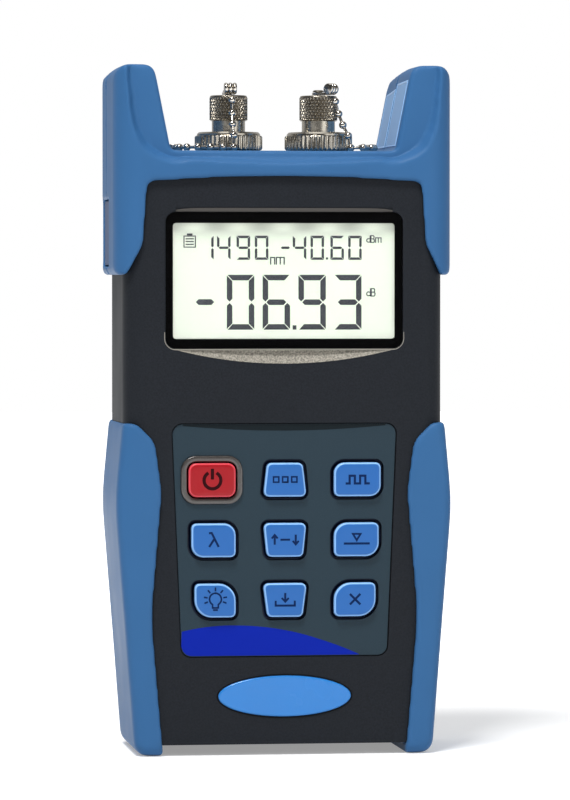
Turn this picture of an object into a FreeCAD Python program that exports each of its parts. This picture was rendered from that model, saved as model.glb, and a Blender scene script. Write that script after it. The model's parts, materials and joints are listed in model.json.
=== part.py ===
"""Handheld optical power meter with a horned guard, two FC ports and dust caps on ball chains.

Millimetres. The meter stands on its two feet: +Z runs up along it, its front looks
along -Y, and the origin is on the floor under its middle.
"""
import FreeCAD, Part
import Sketcher
import math
import os
import re
from FreeCAD import Placement, Rotation, Vector

SIZES = {
    # the whole meter
    "tall": 175.0,              # floor to the tips of the horns
    "wide": 86.4,               # over the guard
    "deep": 41.0,               # over the guard and the grips
    # the two shells
    "shell_narrow": 8.5,        # the underside is narrower by this much
    "shell_taper_z": 70.0,      # the sides taper below this height
    "shell_deep": 38.0,
    "shell_low": 2.8,           # underside above the floor
    "shell_round": 5.5,         # long outer edges
    "wall": 2.2,
    "seam_y": 2.5,              # where front and rear pieces meet
    # the guard over the top
    "deck_z": 153.3,            # top of the deck between the horns
    "deck_thick": 4.2,
    "horn_gap": 57.4,           # between the horns at the deck
    "horn_lean": 4.3,           # inner faces lean outwards by this much
    "horn_slope": 2.6,          # the tops fall by this much to the back
    "horn_round": 3.0,
    "guard_side": 2.45,         # over the shells' sides
    "guard_round": 7.0,         # long corners seen from above
    "guard_tip_z": 120.4,       # lower end of the arms
    "guard_bar_z": 145.3,       # lower edge of the bar over the window
    "guard_arch": 2.2,          # the bar rises by this much in the middle
    "arm_wide": 8.3,
    "cove_deep": 3.0,           # the front steps back by this much inside the ridge
    "cove_round": 2.2,
    "cove_low_z": 149.7,
    "ridge_out": 3.1,           # ridge line inside the outer side of each horn
    "ridge_round": 11.0,
    # the side grips with the feet
    "grip_top_z": 84.6,
    "grip_belly_z": 64.0,
    "grip_side": 2.35,          # over the shells' sides at the belly
    "grip_foot_side": 1.6,      # over the shells' sides at the floor
    "grip_front": 11.9,         # width of the front face at the belly
    "grip_waist_in": 2.7,       # inner front edge at the waist, outside the belly's
    "grip_waist_z": 35.0,
    "grip_corner": 3.5,
    "grip_edge": 2.6,
    "foot_wide": 7.2,
    # window and display
    "lens_wide": 60.4,
    "lens_low_z": 103.2,
    "lens_tall": 34.4,
    "lens_round": 2.5,
    "lens_thick": 1.2,
    "lens_set": 0.3,            # lens face behind the shell face
    "gasket_thick": 0.3,
    "gasket_wide": 1.4,
    "lens_gap": 0.15,
    "facet_drop": 3.9,          # crescent below the window at its middle
    "facet_wide": 58.4,
    "facet_deep": 1.5,
    "brow_tall": 1.4,
    "brow_deep": 0.5,
    "glass_gap": 0.2,
    "glass_wide": 64.0,
    "glass_tall": 37.6,
    "glass_thick": 1.8,
    "frame_wall": 1.6,
    # keypad
    "overlay_top_z": 84.0,
    "overlay_low_z": 25.2,
    "overlay_top_wide": 57.2,
    "overlay_low_wide": 52.4,
    "overlay_round": 2.5,
    "overlay_thick": 0.5,
    "overlay_set": 0.4,         # overlay face behind the shell face
    "overlay_gap": 0.3,
    "key_tall": 8.6,
    "key_row_z": 69.9,          # middle of the top row
    "key_pitch": 15.25,
    "key_inner": 12.55,         # inner edge of the outer keys, from the middle
    "key_round": 1.3,
    "key_proud": 1.2,
    "key_gap": 0.9,
    "key_skirt": 0.7,           # skirt beyond the opening
    "key_skirt_thick": 1.0,
    "key_post": 2.0,            # radius of the post that presses the dome
    "key_travel": 0.8,
    "bezel_grow": 1.9,
    "bezel_gap": 0.35,
    "dome": 3.4,
    "dome_thick": 0.35,
    "mat_thick": 1.3,
    # inlay
    "inlay_wide": 33.9,
    "inlay_tall": 10.4,
    "inlay_z": 15.0,
    "inlay_deep": 0.8,
    "inlay_proud": 0.5,
    # board
    "board_wide": 62.0,
    "board_low_z": 21.0,
    "board_top_z": 145.0,
    "board_thick": 1.6,
    "board_y": -12.0,
    # screws
    "boss": 3.1,
    "boss_x": 34.6,
    "boss_top_z": 145.6,
    "boss_low_x": 30.8,
    "boss_low_z": 11.5,
    "case_screw": 1.25,
    "screw_head": 2.3,
    "screw_sink": 8.0,
    "board_screw": 1.0,
    "board_boss": 2.4,
    "board_screw_x": 27.5,
    "board_screw_low_z": 25.5,
    "board_screw_top_z": 93.5,
    # battery box
    "door_wide": 50.0,
    "door_low_z": 9.3,
    "door_top_z": 72.3,
    "door_thick": 1.9,
    "door_gap": 0.3,
    "door_ledge": 1.6,
    "box_wall": 1.6,
    "box_floor": 1.4,
    "cell": 7.25,
    "cell_tall": 49.3,
    "cell_pitch": 15.2,
    "cell_y": 9.2,
    "cell_nub": 2.7,
    "cell_nub_tall": 1.2,
    # ports
    "port_x": 11.66,
    "port_y": 3.0,
    "barrel": 6.5,
    "barrel_top": 2.7,          # above the deck
    "barrel_bore": 4.9,
    "barrel_flange": 8.2,
    "barrel_flange_thick": 2.0,
    "ring": 8.75,
    "ring_low": 0.3,
    "ring_tall": 4.8,
    "ring_web": 1.2,
    "ring_gap": 0.15,
    "ring_teeth": 40,
    "tooth_deep": 0.45,
    "flange": 6.0,
    "flange_thick": 0.9,
    "neck": 4.27,
    "neck_tall": 4.4,
    "nose": 3.85,
    "nose_tall": 5.2,
    "bore": 1.25,
    "sleeve_wall": 0.35,
    "key_slot": 1.1,
    "sensor": 2.3,
    "sensor_tall": 3.6,
    # dust caps and their swivels
    "cap": 4.9,
    "cap_tall": 6.6,
    "cap_gap": 0.2,
    "cap_roof": 1.0,
    "cap_round": 0.8,
    "rivet": 0.8,
    "rivet_head": 1.5,
    "rivet_head_tall": 0.6,
    "strip_thick": 0.6,
    "strip_gap": 0.15,
    "strip_wide": 3.4,
    "clasp_long": 3.6,
    "clasp_tall": 3.0,
    "clasp_set": 2.1,
    # ball chains
    "ball": 1.0,
    "link": 0.38,
    "link_gap": 0.02,
    "anchor": 1.8,
    "anchor_x": 25.0,
    "anchor_y": 10.6,
    # side socket behind its flap
    "bay_low_z": 124.0,
    "bay_tall": 17.0,
    "bay_front_y": -2.5,
    "bay_deep": 16.5,
    "flap_thick": 1.1,
    "flap_gap": 0.35,
    "flap_set": 0.6,
    "socket_tall": 8.4,
    "socket_deep": 5.2,
    "socket_long": 7.0,
}

# outer keys lie on both sides of the middle column: side, row, width, lean and large corner
KEYS = {
    "power": (-1, 0, 12.0, 0.0, 2.0),
    "mode": (0, 0, 9.1, 1.0, 1.3),
    "wave": (1, 0, 12.0, 0.0, 2.8),
    "lambda": (-1, 1, 11.3, 0.0, 3.0),
    "units": (0, 1, 11.05, -0.9, 1.3),
    "ref": (1, 1, 11.5, 0.0, 3.5),
    "light": (-1, 2, 10.5, 0.0, 4.4),
    "save": (0, 2, 11.3, -1.15, 1.3),
    "delete": (1, 2, 10.7, 0.0, 4.4),
}
for key_name, (_, _, key_wide, key_lean, key_corner) in KEYS.items():
    SIZES[key_name + "_wide"] = key_wide
    SIZES[key_name + "_lean"] = key_lean
    SIZES[key_name + "_corner"] = key_corner

# sizes worked out from the others
DERIVED = {
    "shell_wide": "wide - 2 * guard_side",
    "shell_foot_wide": "shell_wide - shell_narrow",
    "grip_belly_wide": "shell_wide + 2 * grip_side",
    "grip_foot_wide": "shell_foot_wide + 2 * grip_foot_side",
    "grip_inner": "grip_belly_wide / 2 - grip_front",
    "foot_inner": "grip_foot_wide / 2 - foot_wide",
    "shell_face": "-shell_deep / 2",
    "inner_face": "shell_face + wall",
    "shell_top": "deck_z - deck_thick",
    "lens_face": "shell_face + lens_set",
    "gasket_face": "lens_face + lens_thick",
    "ledge_face": "gasket_face + gasket_thick",
    "lens_mid_z": "lens_low_z + lens_tall / 2",
    "glass_face": "inner_face + glass_gap",
    "glass_back": "glass_face + glass_thick",
    "overlay_face": "shell_face + overlay_set",
    "overlay_back": "overlay_face + overlay_thick",
    "key_face": "shell_face - key_proud",
    "skirt_face": "inner_face + 0.2",
    "skirt_back": "skirt_face + key_skirt_thick",
    "dome_face": "board_y - dome_thick",
    "post_back": "dome_face - key_travel - 0.05",
    "board_back": "board_y + board_thick",
    "door_face": "shell_deep / 2 - door_thick",
    "box_face": "cell_y - cell - 0.3",
    "box_front": "box_face - box_floor",
    "box_wide": "door_wide + 2 * door_gap + 2 * box_wall",
    "cell_low_z": "door_low_z + 4.6",
    "barrel_top_z": "deck_z + barrel_top",
    "barrel_low_z": "shell_top - wall - barrel_flange_thick",
    "flange_top_z": "barrel_top_z + flange_thick",
    "ring_low_z": "deck_z + ring_low",
    "ring_top_z": "ring_low_z + ring_tall",
    "neck_top_z": "flange_top_z + neck_tall",
    "nose_top_z": "neck_top_z + nose_tall",
    "cap_top_z": "neck_top_z + cap_tall",
    "strip_z": "cap_top_z + strip_gap",
    "rivet_top_z": "strip_z + strip_thick + strip_gap",
    "bay_top_z": "bay_low_z + bay_tall",
    "bay_back_y": "bay_front_y + bay_deep",
    "bay_mid_y": "bay_front_y + bay_deep / 2",
    "bay_mid_z": "bay_low_z + bay_tall / 2",
}


def bound(text):
    """Spell a formula out: worked-out words by their formulas, sizes by their cells."""
    def word(found):
        name = found.group(0)
        if name in DERIVED:
            return "(" + bound(DERIVED[name]) + ")"
        return "Sizes." + name if name in SIZES else name
    return re.sub(r"[a-z][a-z_0-9]*", word, text)


doc = FreeCAD.newDocument("PowerMeter")
sheet = doc.addObject("Spreadsheet::Sheet", "Sizes")
for line, (name, number) in enumerate(SIZES.items(), start=1):
    sheet.set("A%d" % line, name)
    sheet.set("B%d" % line, str(number))
    sheet.setAlias("B%d" % line, name)
doc.recompute()


def size(text):
    """The present value of a formula, in millimetres."""
    answer = sheet.evalExpression(bound(text).replace("Sizes.", ""))
    return float(getattr(answer, "Value", answer))


def mirrored(half):
    """A closed outline from its right half, read from the middle line and back to it."""
    other = [("-(%s)" % corner[0],) + corner[1:] for corner in half if corner[0] != "0"]
    return half + other[::-1]


def box_outline(left, low, right, high, corner="0"):
    """The four corners of a rounded rectangle, from formulas."""
    return [(left, low, corner), (right, low, corner), (right, high, corner), (left, high, corner)]


def centred(wide, low, tall, corner="0"):
    """A rounded rectangle across the middle line."""
    return box_outline("-(%s) / 2" % wide, low, "(%s) / 2" % wide, "(%s) + (%s)" % (low, tall), corner)


def circle(x, z, radius):
    """A round loop, from formulas."""
    return ("circle", x, z, radius)


def tie(sketch, constraint, formula):
    """Add a constraint and bind its value to a formula."""
    sketch.setExpression("Constraints[%d]" % sketch.addConstraint(constraint), bound(formula))


def draw_circle(sketch, x, z, radius):
    """Draw one circle, fully constrained."""
    centre = Vector(size(x), size(z), 0)
    index = sketch.addGeometry(Part.Circle(centre, Vector(0, 0, 1), size(radius)))
    tie(sketch, Sketcher.Constraint("Radius", index, size(radius)), radius)
    tie(sketch, Sketcher.Constraint("DistanceX", -1, 1, index, 3, centre.x), x)
    tie(sketch, Sketcher.Constraint("DistanceY", -1, 1, index, 3, centre.y), z)


def draw_ellipse(sketch, x, z, half_wide, half_tall):
    """Draw one lying ellipse, fully constrained."""
    rule = Sketcher.Constraint
    centre = Vector(size(x), size(z), 0)
    side = centre + Vector(size(half_wide), 0, 0)
    crown = centre + Vector(0, size(half_tall), 0)
    index = sketch.addGeometry(Part.Ellipse(side, crown, centre))
    sketch.exposeInternalGeometry(index)
    tie(sketch, rule("DistanceX", -1, 1, index, 3, centre.x), x)
    tie(sketch, rule("DistanceY", -1, 1, index, 3, centre.y), z)
    tie(sketch, rule("Distance", index + 1, 2 * size(half_wide)), "2 * (%s)" % half_wide)
    tie(sketch, rule("Distance", index + 2, 2 * size(half_tall)), "2 * (%s)" % half_tall)
    sketch.addConstraint(rule("Horizontal", index + 1))


def draw_outline(sketch, corners):
    """Draw straight sides through the corners, with an arc at each corner that has a radius."""
    rule = Sketcher.Constraint
    points = [Vector(size(corner[0]), size(corner[1]), 0) for corner in corners]
    radii = [size(corner[2]) if len(corner) > 2 else 0.0 for corner in corners]
    starts, ends, arcs = [], [], []
    for index, point in enumerate(points):
        back = (points[index - 1] - point).normalize()
        onward = (points[(index + 1) % len(points)] - point).normalize()
        if radii[index] <= 0:
            ends.append(point)
            starts.append(point)
            arcs.append(None)
            continue
        half = back.getAngle(onward) / 2
        reach = radii[index] / math.tan(half)
        centre = point + (back + onward).normalize() * (radii[index] / math.sin(half))
        middle = centre + (point - centre).normalize() * radii[index]
        ends.append(point + back * reach)
        starts.append(point + onward * reach)
        arcs.append((ends[-1], middle, starts[-1]))
    lines = []
    for index, start in enumerate(starts):
        lines.append(sketch.addGeometry(Part.LineSegment(start, ends[(index + 1) % len(points)])))
    for index, (corner, point) in enumerate(zip(corners, points)):
        before, after = lines[index - 1], lines[index]
        if arcs[index] is None:
            sketch.addConstraint(rule("Coincident", before, 2, after, 1))
            spot = (after, 1)
        else:
            arc = sketch.addGeometry(Part.Arc(*arcs[index]))
            forward = (sketch.getPoint(arc, 1) - arcs[index][0]).Length < 1e-6
            first, last = (1, 2) if forward else (2, 1)
            mark = sketch.addGeometry(Part.Point(point), True)
            sketch.addConstraint([
                rule("Tangent", before, 2, arc, first),
                rule("Tangent", after, 1, arc, last),
                rule("PointOnObject", mark, 1, before),
                rule("PointOnObject", mark, 1, after),
            ])
            tie(sketch, rule("Radius", arc, radii[index]), corner[2])
            spot = (mark, 1)
        tie(sketch, rule("DistanceX", -1, 1, *spot, point.x), corner[0])
        tie(sketch, rule("DistanceY", -1, 1, *spot, point.y), corner[1])


def new_body(label, x=None, y=None, z=None, turn=None):
    """A PartDesign body, set and turned about the vertical where formulas say so."""
    body = doc.addObject("PartDesign::Body", label)
    body.Label = label
    for axis, formula in (("x", x), ("y", y), ("z", z)):
        if formula is not None:
            body.setExpression("Placement.Base." + axis, bound(formula))
    if turn is not None:
        body.Placement.Rotation = Rotation(Vector(0, 0, 1), turn)
    return body


def new_sketch(body, name, role, offset, loops):
    """A sketch on one of the body's origin planes, moved along its normal, with its loops."""
    sketch = body.newObject("Sketcher::SketchObject", name + "_sketch")
    planes = [plane for plane in body.Origin.OriginFeatures if plane.Role == role]
    sketch.AttachmentSupport = [(planes[0], "")]
    sketch.MapMode = "FlatFace"
    sketch.setExpression("AttachmentOffset.Base.z", bound(offset))
    for loop in loops:
        if loop[0] == "circle":
            draw_circle(sketch, *loop[1:])
        elif loop[0] == "ellipse":
            draw_ellipse(sketch, *loop[1:])
        else:
            draw_outline(sketch, loop)
    return sketch


def add_feature(body, kind, name, role, offset, loops, length):
    """A pad or pocket of some length from a sketch on an origin plane."""
    feature = body.newObject("PartDesign::" + kind, name)
    feature.Profile = new_sketch(body, name, role, offset, loops)
    feature.setExpression("Length", bound(length))
    return feature


def slab(body, name, loops, front, back):
    """Add the outlines of the front view between two depths."""
    return add_feature(body, "Pad", name, "XZ_Plane", "-(%s)" % back, loops, "(%s) - (%s)" % (back, front))


def recess(body, name, loops, front, back):
    """Take the outlines of the front view away between two depths."""
    return add_feature(body, "Pocket", name, "XZ_Plane", "-(%s)" % front, loops, "(%s) - (%s)" % (back, front))


def post(body, name, loops, low, high):
    """Add the outlines of the top view between two heights."""
    return add_feature(body, "Pad", name, "XY_Plane", low, loops, "(%s) - (%s)" % (high, low))


def pit(body, name, loops, low, high):
    """Take the outlines of the top view away between two heights."""
    return add_feature(body, "Pocket", name, "XY_Plane", high, loops, "(%s) - (%s)" % (high, low))


def side_recess(body, name, loops, left, right):
    """Take outlines of the side view (depth, height) away between two places across."""
    return add_feature(body, "Pocket", name, "YZ_Plane", right, loops, "(%s) - (%s)" % (right, left))


def turned(body, name, corners):
    """Turn a profile of (radius, height) corners about the body's own vertical axis."""
    feature = body.newObject("PartDesign::Revolution", name)
    sketch = new_sketch(body, name, "XZ_Plane", "0", [corners])
    feature.Profile = sketch
    feature.ReferenceAxis = (sketch, ["V_Axis"])
    feature.Angle = 360
    return feature


def round_edges(body, name, radius, chosen):
    """Fillet the edges of the body's tip whose middle point passes a test."""
    doc.recompute()
    base = body.Tip
    names = []
    for index, edge in enumerate(base.Shape.Edges, start=1):
        middle = edge.valueAt((edge.FirstParameter + edge.LastParameter) / 2)
        if chosen(middle, edge):
            names.append("Edge%d" % index)
    feature = body.newObject("PartDesign::Fillet", name)
    feature.Base = (base, names)
    feature.setExpression("Radius", bound(radius))
    return feature


def combined(kind, label, base, tool):
    """A Part boolean of two objects."""
    result = doc.addObject("Part::" + kind, label)
    result.Label = label
    result.Base = base
    result.Tool = tool
    return result


def drum(label, radius, low, high, x="0", y="0"):
    """An upright cylinder between two heights."""
    cylinder = doc.addObject("Part::Cylinder", label)
    cylinder.Label = label
    cylinder.setExpression("Radius", bound(radius))
    cylinder.setExpression("Height", bound("(%s) - (%s)" % (high, low)))
    for axis, formula in (("x", x), ("y", y), ("z", low)):
        cylinder.setExpression("Placement.Base." + axis, bound(formula))
    return cylinder


def block(label, x, y, z):
    """A box between pairs of formulas."""
    solid = doc.addObject("Part::Box", label)
    solid.Label = label
    for side, axis, (low, high) in (("Length", "x", x), ("Width", "y", y), ("Height", "z", z)):
        solid.setExpression(side, bound("(%s) - (%s)" % (high, low)))
        solid.setExpression("Placement.Base." + axis, bound(low))
    return solid


# ---------------------------------------------------------------- outlines of the front view

SHELL_HALF = [
    ("shell_foot_wide / 2", "shell_low"),
    ("shell_wide / 2", "shell_taper_z", "60"),
    ("shell_wide / 2", "shell_top"),
]
CAVITY_HALF = [
    ("shell_foot_wide / 2 - wall", "shell_low + wall"),
    ("shell_wide / 2 - wall", "shell_taper_z", "60"),
    ("shell_wide / 2 - wall", "shell_top - wall"),
]
GUARD_HALF = [
    ("0", "deck_z"),
    ("horn_gap / 2", "deck_z", "1"),
    ("horn_gap / 2 + horn_lean", "tall", "horn_round"),
    ("wide / 2", "tall", "horn_round + 1"),
    ("wide / 2", "guard_tip_z + 2.2", "2"),
    ("wide / 2 - 2.3", "guard_tip_z", "1.9"),
    ("wide / 2 - arm_wide + 1.1", "guard_tip_z + 9.1", "8"),
    ("wide / 2 - arm_wide", "guard_bar_z", "2"),
    ("0", "guard_bar_z + guard_arch", "400"),
]
COVE_HALF = [
    ("0", "cove_low_z", "300"),
    ("wide / 2 - ridge_out - 5.5", "cove_low_z + 2.0", "ridge_round"),
    ("wide / 2 - ridge_out", "tall + 4"),
]
GRIP_HALF = [
    ("grip_foot_wide / 2", "0", "grip_corner"),
    ("grip_belly_wide / 2", "grip_belly_z", "70"),
    ("grip_belly_wide / 2 - 1.9", "grip_top_z"),
    ("grip_belly_wide / 2 - 5.5", "grip_top_z - 0.5"),
    ("grip_inner + 1.8", "grip_top_z - 4.6", "7"),
    ("grip_inner", "grip_belly_z + 3", "30"),
    ("grip_inner + grip_waist_in", "grip_waist_z", "60"),
    ("foot_inner", "0"),
]
LENS = centred("lens_wide", "lens_low_z", "lens_tall", "lens_round")
OVERLAY_HALF = [
    ("overlay_low_wide / 2", "overlay_low_z", "overlay_round"),
    ("overlay_top_wide / 2", "overlay_top_z", "overlay_round"),
]


def grown(half, grow):
    """The right half of an upright outline, wider and taller by a gap all round."""
    low, high = half
    return [
        ("%s + (%s)" % (low[0], grow), "%s - (%s)" % (low[1], grow), "%s + (%s)" % (low[2], grow)),
        ("%s + (%s)" % (high[0], grow), "%s + (%s)" % (high[1], grow), "%s + (%s)" % (high[2], grow)),
    ]


def key_middle(name):
    """Formulas of the middle of a key: across and up."""
    side, row = KEYS[name][:2]
    x = "%d * (key_inner + %s_wide / 2)" % (side, name)
    return x, "key_row_z - %d * key_pitch" % row


def key_outline(name, grow="0"):
    """The corners of a key: the top inner and the bottom outer ones are the large ones."""
    side = KEYS[name][0]
    x, z = key_middle(name)
    half = "(%s_wide / 2 + %s)" % (name, grow)
    foot = "(%s_wide / 2 + %s_lean + %s)" % (name, name, grow)
    tall = "(key_tall / 2 + %s)" % grow
    large = "%s_corner + %s" % (name, grow)
    small = "key_round + %s" % grow
    if side == 0 or name == "power":
        radii = [large] * 4
    elif side > 0:
        radii = [small, large, small, large]
    else:
        radii = [large, small, large, small]
    spots = [(x + " - " + foot, z + " - " + tall), (x + " + " + foot, z + " - " + tall),
             (x + " + " + half, z + " + " + tall), (x + " - " + half, z + " + " + tall)]
    return [spot + (radius,) for spot, radius in zip(spots, radii)]


def key_opening(name):
    """The opening round a key; the power key's one holds its bezel too."""
    return key_outline(name, "bezel_grow" if name == "power" else "key_gap")


# ---------------------------------------------------------------- shells

def shell_block(label, front, back):
    """The outer form of the shells between two depths, with its long outer edges rounded."""
    body = new_body(label)
    slab(body, label + "_block", [mirrored(SHELL_HALF)], front, back)

    def long_outer(middle, edge):
        outside = abs(abs(middle.y) - size("shell_deep / 2")) < 0.01
        return outside and abs(middle.x) > size("shell_foot_wide / 2") - 1 and abs(middle.x) > 1
    round_edges(body, label + "_long_edges", "shell_round", long_outer)
    return body


def boss_places():
    """Formulas of the four case screws: across and up."""
    upper = [("%d * boss_x" % side, "boss_top_z") for side in (-1, 1)]
    lower = [("%d * boss_low_x" % side, "boss_low_z") for side in (-1, 1)]
    return upper + lower


def board_screw_places():
    """Formulas of the four board screws: across and up."""
    return [("%d * board_screw_x" % side, z) for side in (-1, 1)
            for z in ("board_screw_low_z", "board_screw_top_z")]


def port_places():
    """Formulas of the two port axes: name, across and depth."""
    return (("left", "-port_x", "port_y"), ("right", "port_x", "port_y"))


def port_holes(grow):
    """The loops of the top view for both ports, wider than the barrels by a gap."""
    return [circle(x, y, "barrel + " + grow) for _, x, y in port_places()]


def make_front_shell():
    """The front half: window seat, facet, keypad well, key openings, inlay seat and bosses."""
    body = shell_block("front_shell_form", "shell_face", "seam_y")
    recess(body, "cavity", [mirrored(CAVITY_HALF)], "inner_face", "seam_y")
    bosses = [circle(x, z, "boss") for x, z in boss_places()]
    slab(body, "case_bosses", bosses, "inner_face - 0.2", "seam_y")
    recess(body, "case_pilots", [circle(x, z, "case_screw") for x, z in boss_places()],
           "seam_y - 12", "seam_y")
    low_bosses = [circle(x, z, "board_boss") for x, z in board_screw_places()]
    slab(body, "board_bosses", low_bosses, "inner_face - 0.2", "board_y")
    recess(body, "board_pilots", [circle(x, z, "board_screw") for x, z in board_screw_places()],
           "board_y - 4", "board_y")
    seat = centred("lens_wide + 2 * lens_gap", "lens_low_z - lens_gap", "lens_tall + 2 * lens_gap",
                   "lens_round + lens_gap")
    recess(body, "lens_seat", [seat], "shell_face", "ledge_face")
    sight = centred("lens_wide - 2 * gasket_wide", "lens_low_z + gasket_wide",
                    "lens_tall - 2 * gasket_wide", "lens_round")
    recess(body, "lens_opening", [sight], "ledge_face", "inner_face")
    well = mirrored(grown(OVERLAY_HALF, "overlay_gap"))
    recess(body, "overlay_well", [well], "shell_face", "overlay_back")
    for name in KEYS:
        recess(body, name + "_opening", [key_opening(name)], "overlay_back", "inner_face")
    recess(body, "inlay_seat", [inlay_loop("0.1")], "shell_face", "shell_face + inlay_deep")
    pit(body, "port_holes", port_holes("0.1"), "shell_top - wall", "shell_top")
    side_recess(body, "bay_opening", [bay_loop("1.6")], "-shell_wide / 2", "-shell_wide / 2 + wall")
    body = combined("Cut", "front_shell_faceted", body, window_facet())
    result = combined("Cut", "front_shell", body, window_brow())
    return result


def inlay_loop(grow):
    """The long oval of the inlay, as an ellipse."""
    return ("ellipse", "0", "inlay_z", "inlay_wide / 2 + " + grow, "inlay_tall / 2 + " + grow)


def bay_loop(shrink):
    """The side view of the socket bay, smaller by a step all round."""
    return box_outline("bay_front_y + " + shrink, "bay_low_z + " + shrink,
                       "bay_back_y - " + shrink, "bay_top_z - " + shrink, "1.2")


def window_facet():
    """The cutter of the crescent under the window: a wide flat cone, cut off at the lens seat."""
    half_wide = size("facet_wide / 2")
    drop = size("facet_drop")
    radius = (half_wide ** 2 + drop ** 2) / (2 * drop)
    run = drop / size("facet_deep")
    cone = doc.addObject("Part::Cone", "facet_cone")
    lift = 1.0
    cone.Radius1 = radius + run * lift
    cone.Radius2 = radius - drop
    cone.Height = size("facet_deep") + lift
    middle = Vector(0, size("shell_face") - lift, size("lens_low_z - facet_drop") + radius)
    cone.Placement = Placement(middle, Rotation(Vector(1, 0, 0), -90))
    trim = block("facet_trim", ("-facet_wide / 2", "facet_wide / 2"),
                 ("shell_face - 1", "shell_face + facet_deep"),
                 ("lens_low_z - facet_drop - 0.1", "lens_low_z - lens_gap + 0.01"))
    return combined("Common", "facet_cutter", cone, trim)


def window_brow():
    """The cutter of the narrow bevel above the window."""
    body = new_body("brow_cutter")
    feature = body.newObject("PartDesign::Pad", "brow")
    top = "lens_low_z + lens_tall + lens_gap - 0.01"
    corners = [("shell_face - 0.5", top), ("shell_face + brow_deep", top),
               ("shell_face", top + " + brow_tall"), ("shell_face - 0.5", top + " + brow_tall")]
    feature.Profile = new_sketch(body, "brow", "YZ_Plane", "-lens_wide / 2 + lens_round", [corners])
    feature.setExpression("Length", bound("lens_wide - 2 * lens_round"))
    return body


def make_rear_shell():
    """The rear half: battery box with its door seat, bosses and port holes."""
    body = shell_block("rear_shell", "seam_y", "shell_deep / 2")
    recess(body, "cavity_rear", [mirrored(CAVITY_HALF)], "seam_y", "shell_deep / 2 - wall")
    slab(body, "battery_box", [battery_loop("door_gap + box_wall")], "box_front", "shell_deep / 2 - wall")
    recess(body, "battery_space", [battery_loop("-door_ledge")], "box_face", "shell_deep / 2")
    recess(body, "door_seat", [battery_loop("door_gap")], "door_face", "shell_deep / 2")
    bosses = [circle(x, z, "boss") for x, z in boss_places()]
    slab(body, "case_bosses_rear", bosses, "seam_y", "shell_deep / 2 - wall")
    recess(body, "case_holes", [circle(x, z, "case_screw + 0.1") for x, z in boss_places()],
           "seam_y", "shell_deep / 2")
    recess(body, "head_holes", [circle(x, z, "screw_head + 0.1") for x, z in boss_places()],
           "shell_deep / 2 - screw_sink", "shell_deep / 2")
    pit(body, "port_holes_rear", port_holes("0.1"), "shell_top - wall", "shell_top")
    side_recess(body, "bay_opening_rear", [bay_loop("1.6")], "-shell_wide / 2", "-shell_wide / 2 + wall")
    return body


def battery_loop(grow):
    """The front view of the battery door, wider by a gap all round."""
    return box_outline("-door_wide / 2 - (%s)" % grow, "door_low_z - (%s)" % grow,
                       "door_wide / 2 + (%s)" % grow, "door_top_z + (%s)" % grow, "1.5")


# ---------------------------------------------------------------- guard and grips

def guard_form():
    """The whole guard as one block: horned front view, rounded plan and sloping horn tops."""
    body = new_body("guard_form")
    slab(body, "guard_block", [mirrored(GUARD_HALF)], "-deep / 2", "deep / 2")
    plan = box_outline("-wide / 2", "-deep / 2", "wide / 2", "deep / 2", "guard_round")
    outside = box_outline("-wide / 2 - 5", "-deep / 2 - 5", "wide / 2 + 5", "deep / 2 + 5")
    pit(body, "plan_corners", [outside, plan], "guard_tip_z - 1", "tall + 1")
    slope = [("-deep / 2 - 5", "tall + 9"), ("-deep / 2 - 5", "tall - 2.2"), ("-deep / 2 + 2.2", "tall", "3"),
             ("-deep / 8", "tall", "12"), ("deep / 2 - 2", "tall - horn_slope", "4"),
             ("deep / 2 + 5", "tall - horn_slope - 8"), ("deep / 2 + 5", "tall + 9")]
    side_recess(body, "horn_tops", [slope], "-wide / 2 - 1", "wide / 2 + 1")
    pit(body, "guard_port_holes", port_holes("0.1"), "shell_top - 1", "deck_z")
    side_recess(body, "guard_bay", [bay_loop("0")], "-wide / 2 - 1", "-shell_wide / 2")
    return body


def cove_cutter():
    """What steps the guard's front back inside the ridge, with a rounded foot along it."""
    body = new_body("cove_cutter")
    corners = mirrored(COVE_HALF)
    slab(body, "cove_block", [corners], "-deep / 2 - 5", "-deep / 2 + cove_deep")

    def foot(middle, edge):
        return abs(middle.y - size("-deep / 2 + cove_deep")) < 0.01 and middle.z < size("tall + 3.9")
    round_edges(body, "cove_foot", "cove_round", foot)
    return body


def make_guard(form, shell_form):
    """The front and rear mouldings of the guard, split at the seam and hollow over the shells."""
    coved = combined("Cut", "guard_coved", form, cove_cutter())
    hollow = combined("Cut", "guard_hollow", coved, shell_form)
    halves = []
    for label, front, back in (("top_guard_front", "-deep", "seam_y"), ("top_guard_rear", "seam_y", "deep")):
        half = block(label + "_half", ("-wide", "wide"), (front, back), ("0", "tall + 20"))
        halves.append(combined("Common", label, hollow, half))
    return halves


def make_grip(label, side, shell_form):
    """One side grip with its foot, wrapped round the shells from front to back."""
    body = new_body(label + "_form")
    corners = [("%d * (%s)" % (side, corner[0]),) + corner[1:] for corner in GRIP_HALF]
    slab(body, label + "_block", [corners], "-deep / 2", "deep / 2")

    def outer(middle, edge):
        at_face = abs(abs(middle.y) - size("deep / 2")) < 0.01
        return at_face and abs(middle.x) > size("grip_foot_wide / 2") and middle.z < size("grip_top_z - 1")
    round_edges(body, label + "_outer_edges", "grip_edge", outer)
    return combined("Cut", label, body, shell_form)


# ---------------------------------------------------------------- window, display and keypad

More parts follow.
